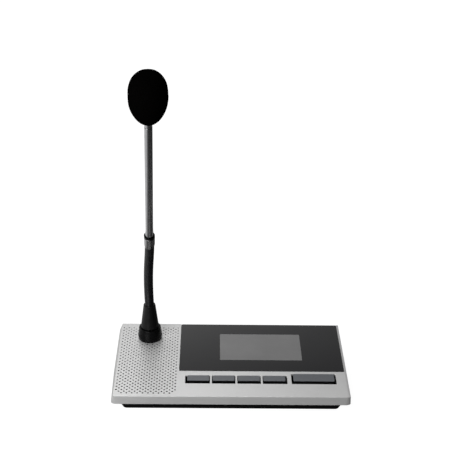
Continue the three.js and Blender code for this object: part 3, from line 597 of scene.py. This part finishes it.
def rounded_slab(name, outline, z0, z1, top_edge, bottom_edge=0.0, matrix=DECK):
    """A plate with rounded edges: outline(inset) gives its outline."""
    profile = [(0, z0)]
    if bottom_edge:
        profile = [(inset, z0 + depth) for inset, depth in edge_arc(bottom_edge)]
    profile += [(inset, z1 - depth) for inset, depth in reversed(edge_arc(top_edge))]
    return tower(name, outline, profile, matrix)


def flared_cutter(name, outline, z0, edge, matrix=DECK):
    """A tool that cuts an opening from z0 up to the frame's face and rounds its edge there."""
    profile = [(0, z0)]
    profile += [(-inset, -depth) for inset, depth in reversed(edge_arc(edge))]
    profile.append((-edge, OVERRUN))
    return tower(name, outline, profile, matrix)


# Materials
def rgba(value):
    """A colour with its alpha, from a colour or a grey."""
    return (*value, 1) if isinstance(value, tuple) else (value, value, value, 1)


def object_place(tree):
    """Coordinates of the object, in metres, from one node of a node tree."""
    place = tree.nodes.get("Place")
    if place is None:
        place = tree.nodes.new("ShaderNodeTexCoord")
        place.name = "Place"
    return place.outputs["Object"]


def texture_value(tree, texture):
    is_noise = isinstance(texture, Noise)
    node = tree.nodes.new("ShaderNodeTexNoise" if is_noise else "ShaderNodeTexVoronoi")
    node.inputs["Scale"].default_value = 1 / (texture.size * MM)
    tree.links.new(object_place(tree), node.inputs["Vector"])
    if is_noise:
        node.inputs["Detail"].default_value = texture.detail
    return node.outputs["Fac" if is_noise else "Distance"]


def surface(name, bumps=(), **values):
    """A material whose shader's sockets have some values: a number, a colour or a Vary."""
    material = bpy.data.materials.new(name)
    material.use_nodes = True
    tree = material.node_tree
    shader = tree.nodes["Principled BSDF"]
    for key, value in values.items():
        socket = shader.inputs[key.replace("_", " ")]
        varies = isinstance(value, Vary)
        plain = value.low if varies else value
        socket.default_value = rgba(plain) if socket.type == "RGBA" else plain
        if varies:
            ramp = tree.nodes.new("ShaderNodeValToRGB")
            low, high = ramp.color_ramp.elements
            low.position, low.color = value.start, rgba(value.low)
            high.position, high.color = value.end, rgba(value.high)
            tree.links.new(texture_value(tree, value.texture), ramp.inputs["Fac"])
            tree.links.new(ramp.outputs["Color"], socket)
    normal = None
    for texture, height in bumps:
        bump = tree.nodes.new("ShaderNodeBump")
        bump.inputs["Distance"].default_value = height * MM
        tree.links.new(texture_value(tree, texture), bump.inputs["Height"])
        if normal is not None:
            tree.links.new(normal, bump.inputs["Normal"])
        normal = bump.outputs["Normal"]
    if normal is not None:
        tree.links.new(normal, shader.inputs["Normal"])
    return material


MATERIALS = {name: surface(name, **values) for name, values in SURFACES.items()}


def shade(obj, material, sharp):
    """Gives an object its material, and smooth faces between the edges that turn sharply."""
    obj.data.materials.clear()
    obj.data.materials.append(MATERIALS[material])
    obj.data.shade_smooth()
    if sharp is not None:
        obj.data.set_sharp_from_angle(angle=sharp * DEG)


def finish_piece(obj, material, body, replaced=(), sharp=SHARP_ANGLE):
    """Gives a rigid piece its looks and body, and hides the CAD nodes that it replaces."""
    shade(obj, material, sharp)
    normals = obj.modifiers.new("normals", "WEIGHTED_NORMAL")
    normals.keep_sharp = True
    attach(obj, body)
    if replaced:
        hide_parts(*replaced)


def darken(obj, chosen):
    """Blackens the faces whose middle and normal, on the deck, are chosen."""
    obj.data.materials.append(MATERIALS["boot_black"])
    inverse = DECK.inverted()
    turn = inverse.to_3x3()
    for face in obj.data.polygons:
        if chosen(inverse @ face.center / MM, turn @ face.normal):
            face.material_index = len(obj.data.materials) - 1


# Cover: the folded silver lid with its perforations, key openings and panel recess
def cover_outline(depth, inset, draw=(0, 0), lip=0):
    """Outline of the cover at a depth. Its corners bend round fixed lines, draw narrows the front
    on the left and on the right, and lip widens the right side."""
    share = depth / SKIRT
    side, end = SIDE_FLARE * share - inset, END_FLARE * share - inset
    roll = lip * min(depth / LIP_DEPTH, (SKIRT - depth) / (SKIRT - LIP_DEPTH))
    y0 = DECK_FRONT - end
    points = []
    for sx, sy in ((1, -1), (1, 1), (-1, 1), (-1, -1)):
        wide, deep = FRONT_CORNER if sy < 0 else BACK_CORNER
        centre = Vector(((DECK_RIGHT if sx > 0 else DECK_LEFT) - sx * wide,
                         (DECK_BACK if sy > 0 else DECK_FRONT) - sy * deep))
        out = side + (roll if sx > 0 else 0)
        reach = Vector((max(wide + out, CORNER_LEAST), max(deep + end, CORNER_LEAST)))
        arc = []
        for step in range(CORNER_STEPS + 1):
            angle = step / CORNER_STEPS * math.pi / 2
            bend = Vector((sx * reach.x * math.sin(angle), sy * reach.y * math.cos(angle)))
            arc.append(centre + bend)
        points += arc if sx * sy < 0 else arc[::-1]
        if (sx, sy) == (1, -1):
            points += [Vector((DECK_RIGHT + out, y0 + y)) for y in DRAW_STATIONS]
        if (sx, sy) == (-1, 1):
            points += [Vector((DECK_LEFT - side, y0 + y)) for y in DRAW_STATIONS[::-1]]
    for point in points:
        pull = share * max(0, 1 - (point.y - y0) / DRAW_STATIONS[-1])
        on_left = point.x < (DECK_LEFT + DECK_RIGHT) / 2
        point.x += draw[0] * pull if on_left else -draw[1] * pull
    return points


def cover_shell():
    """The folded lid, without its openings."""
    rings = []
    for inset, depth in edge_arc(SKIRT_EDGE):
        points = cover_outline(SKIRT, inset, SIDE_DRAW, LIP)
        rings.append([(p.x, p.y, -SKIRT + depth) for p in points])
    for inset, depth in reversed(edge_arc(COVER_EDGE)):
        points = cover_outline(depth, inset, SIDE_DRAW, LIP)
        rings.append([(p.x, p.y, -depth) for p in points])
    inner = []
    for depth in (SKIRT + OVERRUN, COVER_WALL):
        inner.append([(p.x, p.y, -depth) for p in cover_outline(depth, COVER_WALL)])
    body = cut(loft("cover", rings), loft("inside", inner))
    ledge = box("ledge", PANEL_LOW.x - COVER_WALL, DECK_RIGHT - COVER_WALL / 2,
                PANEL_LOW.y - COVER_WALL, DECK_BACK - COVER_WALL / 2, LEDGE_UNDER, -COVER_WALL / 2)
    return join(body, ledge)


def perforations():
    rows = int((DECK_BACK - HOLE_BACK_MARGIN - DECK_FRONT - HOLE_FRONT_MARGIN) / HOLE_ROW_STEP)
    clear = RING_HIGH.x + RING_MARGIN
    tools = []
    for row in range(rows + 1):
        radius = HOLE_RADII[0] + (HOLE_RADII[1] - HOLE_RADII[0]) * row / rows
        profile = [(0, -COVER_WALL - OVERRUN), (radius, -COVER_WALL - OVERRUN)]
        profile += [(radius + inset, -depth) for inset, depth in reversed(edge_arc(HOLE_EDGE, 2))]
        profile += [(radius + HOLE_EDGE, OVERRUN), (0, OVERRUN)]
        for column in range(row % 2, HOLE_COLUMNS, 2):
            corner_cut = row == 0 and column in (0, HOLE_COLUMNS - 1)
            x = DECK_LEFT + HOLE_LEFT_MARGIN + column * HOLE_STEP
            y = DECK_FRONT + HOLE_FRONT_MARGIN + row * HOLE_ROW_STEP
            if corner_cut or math.hypot(x, y) < clear:
                continue
            tools.append(turned("hole", profile, DECK @ shift(x, y), HOLE_SIDES))
    return merged("perforations", tools)


def key_opening(name):
    """Corners x0, x1, y0, y1 of the opening round a key."""
    low, high = KEY_CAPS[name]
    left = KEY_GAP_END if name in ("key_1", "talk_key") else KEY_GAP
    right = KEY_GAP_END if name in ("key_4", "talk_key") else KEY_GAP
    return low.x - left, high.x + right, low.y - KEY_GAP_FRONT, high.y + KEY_GAP


def painted_shade_hole_wall(point, normal):
    """Whether a face of the cover is the wall of a perforation, which is painted black as a painted
    shade for the shadow inside the hole.
    """
    return (abs(normal.z) < PAINTED_SHADE_NORMAL
            and DECK_LEFT + GRILLE_INSIDE < point.x < PANEL_LOW.x - GRILLE_PANEL_GAP
            and DECK_FRONT + GRILLE_INSIDE < point.y < DECK_BACK - GRILLE_INSIDE
            and -COVER_WALL - INSIDE_LEEWAY < point.z < -HOLE_EDGE)


def top_cover():
    def recess(inset):
        return rectangle(PANEL_LOW.x - SEAT + inset, PANEL_HIGH.x + SEAT - inset,
                         PANEL_LOW.y - SEAT + inset, DECK_BACK + OVERRUN,
                         (PANEL_CORNER, SHARP_CORNER, SHARP_CORNER, PANEL_CORNER))

    tools = [flared_cutter("recess", recess, LEDGE_TOP, OPENING_EDGE / 2),
             box("window", DISPLAY_LOW.x - SEAT, DISPLAY_HIGH.x + SEAT, DISPLAY_LOW.y - SEAT,
                 DISPLAY_HIGH.y + SEAT, LEDGE_UNDER - OVERRUN, OVERRUN)]
    for name in KEYS:
        tools.append(flared_cutter("opening", plate(*key_opening(name), KEY_CORNER),
                                   LEDGE_UNDER - OVERRUN, OPENING_EDGE))
    neck_hole = span("mic_socket")[1].x - SOCKET_FLANGE + SEAT
    below = -COVER_WALL - OVERRUN
    tools.append(turned("mic_hole", [(0, below), (neck_hole, below), (neck_hole, OVERRUN),
                                     (0, OVERRUN)], DECK))
    tools.append(perforations())
    body = cut(cover_shell(), *tools)
    finish_piece(body, "silver_paint", "base", ["top_cover"])
    # The perforations' walls are painted black: a painted shade that stands in for the shadow
    # inside the holes.
    darken(body, painted_shade_hole_wall)


def front_panel():
    outline = plate(PANEL_LOW.x, PANEL_HIGH.x, PANEL_LOW.y, PANEL_HIGH.y,
                    (PANEL_CORNER, PANEL_BACK_CORNER, PANEL_CORNER, PANEL_CORNER))
    window = plate(DISPLAY_LOW.x, DISPLAY_HIGH.x, DISPLAY_LOW.y, DISPLAY_HIGH.y, WINDOW_CORNER)
    panel = rounded_slab("panel", outline, PANEL_LOW.z, 0, PANEL_EDGE)
    cut(panel, tower("window", window, [(0, PANEL_LOW.z - OVERRUN), (0, OVERRUN)]))
    finish_piece(panel, "dark_panel", "base", ["front_panel"])
    display = rounded_slab("display_pane", lambda inset: window(inset + DISPLAY_GAP), PANEL_LOW.z,
                           -DISPLAY_SINK, DISPLAY_EDGE)
    finish_piece(display, "display", "base")


def key_caps():
    for name, (low, high) in KEY_CAPS.items():
        half_x, half_y = (high.x - low.x) / 2, (high.y - low.y) / 2
        place = DECK @ shift((low.x + high.x) / 2, (low.y + high.y) / 2)

        def outline(inset):
            corner = max(KEY_CORNER - inset / 2, KEY_CORNER_LEAST)
            return plate(-half_x, half_x, -half_y, half_y, corner)(inset)

        profile = [(0, -COVER_WALL - SEAT)]
        profile += [(inset, high.z - depth) for inset, depth in reversed(edge_arc(KEY_EDGE, 6))]
        cap = tower(name + "_cap", outline, profile, place)
        finish_piece(cap, "key_grey", name, [name])
        darken(cap, lambda point, normal: normal.z < KEY_SIDE_NORMAL)


# Microphone: ring, boot, ribbed neck, sleeve, rod and windscreen
def coupling_ring():
    foot, top = RING_LOW.z, RING_HIGH.z
    ring = turned("ring", rounded([
        (RING_BORE, foot), (RING_FOOT_RADIUS, foot, 0.6),
        (RING_BELLY_RADIUS, foot + RING_BELLY_HEIGHT, 1.2), (RING_TOP_RADIUS, top, 0.7),
        (RING_MOUTH, top, 0.3), (RING_MOUTH, top - RING_LID), (RING_BORE, top - RING_LID),
    ], closed=True), DECK, sides=96)
    finish_piece(ring, "ring_black", "coupling_ring", ["coupling_ring"],
                 TURNED_SHARP)


def boot():
    top = span("neck_boot")[1].z - BOOT_TOP_DROP
    plug, foot, bore = RING_HIGH.z - BOOT_PLUG_LENGTH, RING_HIGH.z + SEAT, top - BOOT_BORE_DEPTH
    piece = turned("boot", rounded([
        (0, plug), (BOOT_PLUG_RADIUS, plug), (BOOT_PLUG_RADIUS, foot),
        (BOOT_FOOT_RADIUS, foot, 0.8), (BOOT_TOP_RADIUS, top, 0.7), (BOOT_BORE, top, 0.2),
        (BOOT_BORE, bore), (0, bore),
    ]), DECK, sides=80)
    finish_piece(piece, "boot_black", "base", ["neck_boot"], TURNED_SHARP)


def neck_skins():
    """The wound tube, in pieces from the middle of one link to the middle of the next."""
    middles = [DECK @ (Vector((0, 0, span("neck_boot")[1].z - NECK_START)) * MM)]
    middles += [(a + b) / 2 for a, b in zip(NECK_PIVOTS, NECK_PIVOTS[1:])]
    middles.append(HEAD @ (Vector((0, 0, SLEEVE_FOOT + NECK_END)) * MM))
    links = [f"neck_link_{i}" for i in range(1, len(NECK_PIVOTS))]
    travelled = 0.0
    for i, pivot in enumerate(NECK_PIVOTS):
        first, last = middles[i], middles[i + 1]
        length = (pivot - first).length + (last - pivot).length
        steps = max(RIB_STEPS, round(length / MM / RIB_PITCH * RIB_STEPS))
        rings = []
        for step in range(steps + 1):
            t = step / steps
            centre = (1 - t) ** 2 * first + 2 * t * (1 - t) * pivot + t ** 2 * last
            along = (1 - t) * (pivot - first) + t * (last - pivot)
            turn = frame_on(centre, along)
            phase = (travelled + t * length) / MM / RIB_PITCH
            wave = 0.5 + 0.5 * math.cos(2 * math.pi * phase)
            radius = (NECK_RADIUS - RIB_DEPTH * (1 - wave) ** RIB_NARROWNESS) * MM
            rings.append([turn @ Vector((radius * x, radius * y, 0)) / MM
                          for x, y in circle(NECK_SIDES)])
        travelled += length
        skin = loft(f"neck_skin_{i + 1}", rings, LEVEL)
        shade(skin, "neck_metal", NECK_SHARP)
        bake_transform(skin)
        if i < len(links):
            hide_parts(links[i])


def sleeve_and_rod():
    length = span("rod_sleeve", HEAD)[1].z - COLLAR_DROP
    bore = length - SLEEVE_BORE_DEPTH
    sleeve = turned("sleeve", rounded([
        (0, SLEEVE_FOOT), (SLEEVE_FOOT_RADIUS, SLEEVE_FOOT, 0.3),
        (SLEEVE_RADIUS, SLEEVE_SHOULDER, 3), (SLEEVE_RADIUS, length, 0.3),
        (SLEEVE_BORE, length, 0.1), (SLEEVE_BORE, bore), (0, bore),
    ], steps=5), HEAD, sides=72)
    finish_piece(sleeve, "bright_rod", "microphone_head", ["rod_sleeve"], sharp=TURNED_SHARP)
    low, high = span("sleeve_collar", HEAD)
    foot, top = low.z - COLLAR_DROP, high.z
    collar = turned("collar", rounded([
        (SLEEVE_BORE, foot, 0.1), (SLEEVE_RADIUS, foot, 0.3), (SLEEVE_RADIUS, top, 0.5),
        (COLLAR_MOUTH, top, 0.3), (SLEEVE_BORE, top - COLLAR_THROAT, 0.1),
    ], steps=4, closed=True), HEAD, sides=72)
    finish_piece(collar, "ring_black", "microphone_head", ["sleeve_collar"],
                 COLLAR_SHARP)
    low, high = span("mic_rod", HEAD)
    shoulder, neck, stem = (top + height for height in ROD_NECK_HEIGHTS)
    rod = turned("rod", rounded([
        (0, low.z), (ROD_FOOT_RADIUS, low.z, 0.2), (ROD_FOOT_RADIUS, shoulder, 0.2),
        (ROD_NECK_RADIUS, neck, 2), (ROD_RADIUS, stem, 9), (ROD_RADIUS, high.z, 0.4), (0, high.z),
    ]), HEAD, sides=72)
    finish_piece(rod, "bright_rod", "microphone_head", ["mic_rod"], sharp=TURNED_SHARP)


def capsule_neck():
    low, high = span("capsule_housing", HEAD)
    foot, top, bore = low.z, high.z, high.z - CAPSULE_BORE_DEPTH
    stem, shoulder = (foot + height for height in CAPSULE_HEIGHTS)
    housing = turned("capsule_neck", rounded([
        (0, foot), (CAPSULE_STEM_RADIUS, foot, 0.2), (CAPSULE_STEM_RADIUS, stem, 0.6),
        (CAPSULE_RADIUS, shoulder, 1), (CAPSULE_RADIUS, top, 0.3), (CAPSULE_BORE, top),
        (CAPSULE_BORE, bore), (0, bore),
    ], steps=5), HEAD)
    finish_piece(housing, "bright_rod", "microphone_head", ["capsule_housing"], sharp=TURNED_SHARP)


def windscreen():
    foot = span("windscreen", HEAD)[0].z
    belly = foot + FOAM_BELLY
    pocket, wall, edge, lip = (foot + height for height in FOAM_MOUTH_HEIGHTS)
    profile = [(0, pocket), (FOAM_MOUTH, wall), (FOAM_MOUTH, edge),
               (FOAM_MOUTH + FOAM_MOUTH_EDGE, lip)]
    for step in range(-FOAM_STEPS, FOAM_STEPS + 1):
        share = math.sin(step / FOAM_STEPS * math.pi / 2)
        power, reach = (FOAM_CROWN, FOAM_ABOVE) if step > 0 else (FOAM_TAPER, FOAM_BELLY)
        radius = FOAM_RADIUS * (1 - abs(share) ** power) ** (1 / power)
        if radius > FOAM_MOUTH + FOAM_MOUTH_RIM or step > 0:
            profile.append((radius, belly + reach * share))
    body = turned("foam", profile, HEAD, FOAM_SIDES)
    bm = bmesh.new()
    bm.from_mesh(body.data)
    bm.normal_update()
    for vert in bm.verts:
        rise = sum(height * noise.noise(vert.co / (size * MM))
                   for height, size in (FOAM_GRAIN, FOAM_LUMPS))
        vert.co += vert.normal * rise * MM
    bm.to_mesh(body.data)
    bm.free()
    shade(body, "foam", None)
    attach(body, "microphone_head")
    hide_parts("windscreen")


# Base tray, feet, screws and sockets, in the level frame
def plug_tool(name, place, radius, z0, z1, edge=0.0):
    """A round cutter from z0 to z1; edge widens it at the tray's underside."""
    profile = [(0, z0), (radius + edge, z0)]
    if edge:
        profile += [(radius + inset, TRAY_FOOT + depth) for inset, depth in edge_arc(edge, 3)]
    profile += [(radius, z1), (0, z1)]
    return turned(name, profile, shift(place.x, place.y), PLUG_SIDES)


def tray_shell():
    """The wedge-shaped tray with its rim, and the y of its back face."""
    first, last = middle("foot_1"), middle("foot_4")
    x0, x1 = first.x - FOOT_INSET - TRAY_WIDER[0], last.x + FOOT_INSET + TRAY_WIDER[1]
    y0, y1 = first.y - FOOT_INSET, last.y + FOOT_INSET
    ceiling = span("base_tray", LEVEL)[1].z + OVERRUN

    def ring(side, end, z, corner):
        points = rectangle(x0 + side, x1 - side, y0 + end, y1 - end, corner, steps=8)
        return [(p.x, p.y, z) for p in points]

    rings = [ring(side, end, TRAY_FOOT + height, TRAY_CORNER - tighter)
             for side, end, height, tighter in TRAY_ENDS]
    body = loft("tray", rings + [ring(0, 0, ceiling, TRAY_CORNER)], LEVEL)
    cut(body, box("above", -BEYOND, BEYOND, -BEYOND, BEYOND, RIM_TOP - RIM_THICKNESS / 2, BEYOND))
    share = (SKIRT - RIM_THICKNESS) / SKIRT
    side, end = (flare * share - COVER_WALL - RIM_SEAT for flare in (SIDE_FLARE, END_FLARE))
    rim = plate(DECK_LEFT - side, DECK_RIGHT + side, DECK_FRONT - end, DECK_BACK + end, RIM_CORNER)
    join(body, rounded_slab("rim", rim, RIM_TOP - RIM_THICKNESS, RIM_TOP, RIM_EDGE, RIM_EDGE))
    hollow = [ring(TRAY_WALL, TRAY_WALL, z, TRAY_CORNER - TRAY_WALL / 2)
              for z in (TRAY_FOOT + TRAY_WALL, ceiling)]
    return cut(body, loft("hollow", hollow, LEVEL)), y1


def base_tray():
    body, back = tray_shell()
    screws = [middle(f"case_screw_{i}") for i in range(1, 5)]
    shank_top = span("cover_standoff_1", LEVEL)[0].z - SEAT
    low, high = span("main_board", LEVEL)
    pads = [Vector((x, y, 0)) for x in (low.x + PAD_INSET, high.x - PAD_INSET)
            for y in (low.y + PAD_INSET, high.y - PAD_INSET)]
    root = TRAY_FOOT + TRAY_WALL / 2
    join(body, *[plug_tool("boss", place, BOSS_RADIUS, root, shank_top) for place in screws],
         *[plug_tool("pad", place, PAD_RADIUS, root, low.z - SEAT) for place in pads])
    head_top = TRAY_FOOT + SCREW_HEAD_HEIGHT + SEAT * 2
    tools = [plug_tool("bore", place, SCREW_RADIUS + SEAT, -OVERRUN, shank_top + OVERRUN)
             for place in screws]
    tools += [plug_tool("counterbore", place, SCREW_HEAD_RADIUS + SEAT, -OVERRUN, head_top,
                        SCREW_HOLE_EDGE) for place in screws]
    for i in range(1, 5):
        recess_top = span(f"foot_{i}", LEVEL)[1].z + SEAT
        tools.append(plug_tool("recess", middle(f"foot_{i}"), FOOT_RADIUS + SEAT, -OVERRUN,
                               recess_top, RECESS_EDGE))
    for i in (1, 2):
        low, high = span(f"network_jack_{i}", LEVEL)
        window = plate(low.x - SEAT, high.x + SEAT, low.z - SEAT, high.z + SEAT, JACK_WINDOW_CORNER)
        tools.append(flared_cutter("window", window, -TRAY_WALL - OVERRUN, RECESS_EDGE,
                                   rear_frame(back)))
    cut(body, *tools)
    finish_piece(body, "tray_black", "base", ["base_tray"])


def foot_pad(i):
    place, top = middle(f"foot_{i}"), span(f"foot_{i}", LEVEL)[1].z
    dish_radius, dish_depth = FOOT_DISH
    foot = turned(f"foot_pad_{i}", rounded([
        (0, dish_depth), (dish_radius, dish_depth, 0.15), (FOOT_TREAD[0], 0, 0.2),
        (FOOT_TREAD[1], 0, 0.3), (FOOT_RADIUS, FOOT_BEVEL, 0.4), (FOOT_RADIUS, top), (0, top),
    ], steps=4), shift(place.x, place.y), sides=56)
    finish_piece(foot, "rubber", "base", [f"foot_{i}"])


def case_screw(i):
    place = middle(f"case_screw_{i}")
    low, high = span(f"case_screw_{i}", LEVEL)
    shoulder = low.z + SCREW_HEAD_HEIGHT
    screw = turned(f"screw_{i}", rounded([
        (0, low.z), (SCREW_HEAD_RADIUS, low.z, 0.9), (SCREW_HEAD_RADIUS, shoulder, 0.2),
        (SCREW_RADIUS, shoulder, 0.2), (SCREW_RADIUS, high.z, 0.4), (0, high.z),
    ], steps=5), shift(place.x, place.y), PLUG_SIDES)
    slots = [box("slot", place.x - a / 2, place.x + a / 2, place.y - b / 2, place.y + b / 2,
                 low.z - OVERRUN, low.z + CROSS_DEPTH, LEVEL)
             for a, b in ((CROSS_LENGTH, CROSS_WIDTH), (CROSS_WIDTH, CROSS_LENGTH))]
    cut(screw, join(*slots))
    finish_piece(screw, "steel", "base", [f"case_screw_{i}"])


def network_jacks():
    width, height, depth = JACK_WINDOW
    for i in (1, 2):
        low, high = span(f"network_jack_{i}", LEVEL)
        x, face = (low.x + high.x) / 2, high.y
        sill = low.z + JACK_SILL
        top = sill + height
        shell = plate(low.x, high.x, low.z, high.z, JACK_CORNER)
        mouth = plate(x - width / 2, x + width / 2, sill, top, JACK_WINDOW_CORNER)
        turn = rear_frame(face)
        jack = rounded_slab(f"jack_shell_{i}", shell, low.y - face, 0, *JACK_EDGES, turn)
        cut(jack, flared_cutter("mouth", mouth, -depth, JACK_WINDOW_EDGE, turn))
        cut(jack, *[box("latch", x - half, x + half, face - depth + LATCH_BACK, face + OVERRUN,
                        top - LATCH_OVERLAP, top + rise, LEVEL) for half, rise in LATCH_STEPS])
        finish_piece(jack, "black_plastic", "base", [f"network_jack_{i}"])
        wires = []
        for k in range(CONTACTS):
            wire_x = x + (k - (CONTACTS - 1) / 2) * CONTACT_PITCH
            rings = [[(wire_x + a * CONTACT_WIDTH / 2, face + y, sill + z + b * CONTACT_WIDTH / 2)
                      for a, b in ((-1, -1), (1, -1), (1, 1), (-1, 1))] for y, z in CONTACT_PATH]
            wires.append(loft("wire", rings, LEVEL))
        finish_piece(merged(f"jack_contacts_{i}", wires), "gold", "base")


def dress_nodes():
    """Gives every CAD node its material."""
    slots = {row["node"]: row["material_slot"] for row in frame["record"]["subparts"]}
    for node, obj in frame["nodes"].items():
        obj.data.materials.clear()
        obj.data.materials.append(MATERIALS[slots[node]])


# Stage: floor, light and camera
def map_range(tree, value, start_end, low_high=(0, 1)):
    """A node that goes from low to high as a value goes from start to end."""
    node = tree.nodes.new("ShaderNodeMapRange")
    for socket, number in zip(("From Min", "From Max", "To Min", "To Max"), start_end + low_high):
        node.inputs[socket].default_value = number
    tree.links.new(value, node.inputs["Value"])
    return node


def white_to_camera(tree, lit, white, output):
    """Shows the camera the white shader, and lights the unit with the lit one."""
    path = tree.nodes.new("ShaderNodeLightPath")
    mix = tree.nodes.new("ShaderNodeMixShader")
    tree.links.new(path.outputs["Is Camera Ray"], mix.inputs["Fac"])
    tree.links.new(lit, mix.inputs[1])
    tree.links.new(white, mix.inputs[2])
    tree.links.new(mix.outputs["Shader"], tree.nodes[output].inputs["Surface"])


def floor_bounce(tree):
    """How strongly the floor throws light back, by its zones."""
    apart = tree.nodes.new("ShaderNodeSeparateXYZ")
    tree.links.new(object_place(tree), apart.inputs["Vector"])
    shifted = tree.nodes.new("ShaderNodeMath")
    shifted.inputs[1].default_value = RAMP_MIDDLE
    tree.links.new(apart.outputs["X"], shifted.inputs[0])
    strength = None
    for start_end, places in FLOOR_ZONES:
        across = tree.nodes.new("ShaderNodeValToRGB")
        stops = across.color_ramp.elements
        while len(stops) < len(places):
            stops.new(RAMP_MIDDLE)
        for stop, (x, value) in zip(stops, places):
            stop.position = x + RAMP_MIDDLE
            stop.color = rgba(value)
        tree.links.new(shifted.outputs["Value"], across.inputs["Fac"])
        if strength is None:
            strength = across.outputs["Color"]
            continue
        along = map_range(tree, apart.outputs["Y"], start_end)
        zone = tree.nodes.new("ShaderNodeMixRGB")
        tree.links.new(along.outputs["Result"], zone.inputs["Fac"])
        tree.links.new(strength, zone.inputs["Color1"])
        tree.links.new(across.outputs["Color"], zone.inputs["Color2"])
        strength = zone.outputs["Color"]
    return strength


def floor():
    """A white floor to the camera, which throws back only a little light onto the unit."""
    obj = box("floor", *FLOOR_BOX, LEVEL)
    material = surface("floor", Base_Color=FLOOR_GREY, Roughness=0.8, Specular_IOR_Level=0.1,
                       Emission_Color=1.0)
    tree = material.node_tree
    bounce = tree.nodes["Principled BSDF"]
    tree.links.new(floor_bounce(tree), bounce.inputs["Emission Strength"])
    white = tree.nodes.new("ShaderNodeBsdfPrincipled")
    for key, value in (("Base Color", rgba(0.1)), ("Roughness", 0.9), ("Emission Color", rgba(1))):
        white.inputs[key].default_value = value
    away = tree.nodes.new("ShaderNodeVectorMath")
    away.operation = "LENGTH"
    tree.links.new(object_place(tree), away.inputs[0])
    glow = map_range(tree, away.outputs["Value"], *FLOOR_GLOW)
    tree.links.new(glow.outputs["Result"], white.inputs["Emission Strength"])
    white_to_camera(tree, bounce.outputs["BSDF"], white.outputs["BSDF"], "Material Output")
    obj.data.materials.append(material)


def world():
    """Bright low down behind and to the left, dim elsewhere, and white to the camera."""
    background = bpy.data.worlds.new("studio")
    background.use_nodes = True
    tree = background.node_tree
    place = tree.nodes.new("ShaderNodeTexCoord")
    strength = None
    for direction, cosines, values in WORLD_FADES:
        dot = tree.nodes.new("ShaderNodeVectorMath")
        dot.operation = "DOT_PRODUCT"
        dot.inputs[1].default_value = Vector(direction).normalized()
        tree.links.new(place.outputs["Generated"], dot.inputs[0])
        fade = map_range(tree, dot.outputs["Value"], cosines, values)
        fade.interpolation_type = "SMOOTHSTEP"
        if strength is None:
            strength = fade.outputs["Result"]
            continue
        product = tree.nodes.new("ShaderNodeMath")
        product.operation = "MULTIPLY"
        tree.links.new(strength, product.inputs[0])
        tree.links.new(fade.outputs["Result"], product.inputs[1])
        strength = product.outputs["Value"]
    lit = tree.nodes["Background"]
    lit.inputs["Color"].default_value = rgba(1)
    tree.links.new(strength, lit.inputs["Strength"])
    white = tree.nodes.new("ShaderNodeBackground")
    white.inputs["Color"].default_value = rgba(1)
    white.inputs["Strength"].default_value = WORLD_WHITE
    white_to_camera(tree, lit.outputs["Background"], white.outputs["Background"], "World Output")
    bpy.context.scene.world = background


def lights():
    for name, (place, target, width, power) in LIGHTS.items():
        light = bpy.data.lights.new(name, "AREA")
        light.shape = "SQUARE"
        light.size = width
        light.energy = power
        obj = new_object(name, light)
        obj.location = place
        direction = Vector(target) - Vector(place)
        obj.rotation_euler = direction.to_track_quat("-Z", "Y").to_euler()


def camera():
    pitch, yaw, roll = CAMERA_PITCH * DEG, CAMERA_YAW * DEG, CAMERA_ROLL * DEG
    ahead, level = Vector((math.sin(yaw), math.cos(yaw), 0)), Vector((0, 0, 1))
    right = Vector((math.cos(yaw), -math.sin(yaw), 0))
    forward = math.cos(pitch) * ahead - math.sin(pitch) * level
    up = math.sin(pitch) * ahead + math.cos(pitch) * level
    rolled_right = math.cos(roll) * right + math.sin(roll) * up
    rolled_up = math.cos(roll) * up - math.sin(roll) * right
    turn = Matrix((rolled_right, rolled_up, -forward)).transposed().to_4x4()
    data = bpy.data.cameras.new("camera")
    data.sensor_width = SENSOR_WIDTH
    data.lens = FOCAL_PIXELS * SENSOR_WIDTH / IMAGE_PIXELS
    data.clip_end = CAMERA_REACH
    obj = new_object("camera", data)
    obj.matrix_world = DECK @ shift(*CAMERA_PLACE) @ turn
    bpy.context.scene.camera = obj


dress_nodes()
top_cover()
front_panel()
key_caps()
coupling_ring()
boot()
neck_skins()
sleeve_and_rod()
capsule_neck()
windscreen()
base_tray()
for number in range(1, 5):
    foot_pad(number)
    case_screw(number)
network_jacks()
floor()
world()
lights()
camera()
bpy.context.scene.view_settings.view_transform = "Standard"
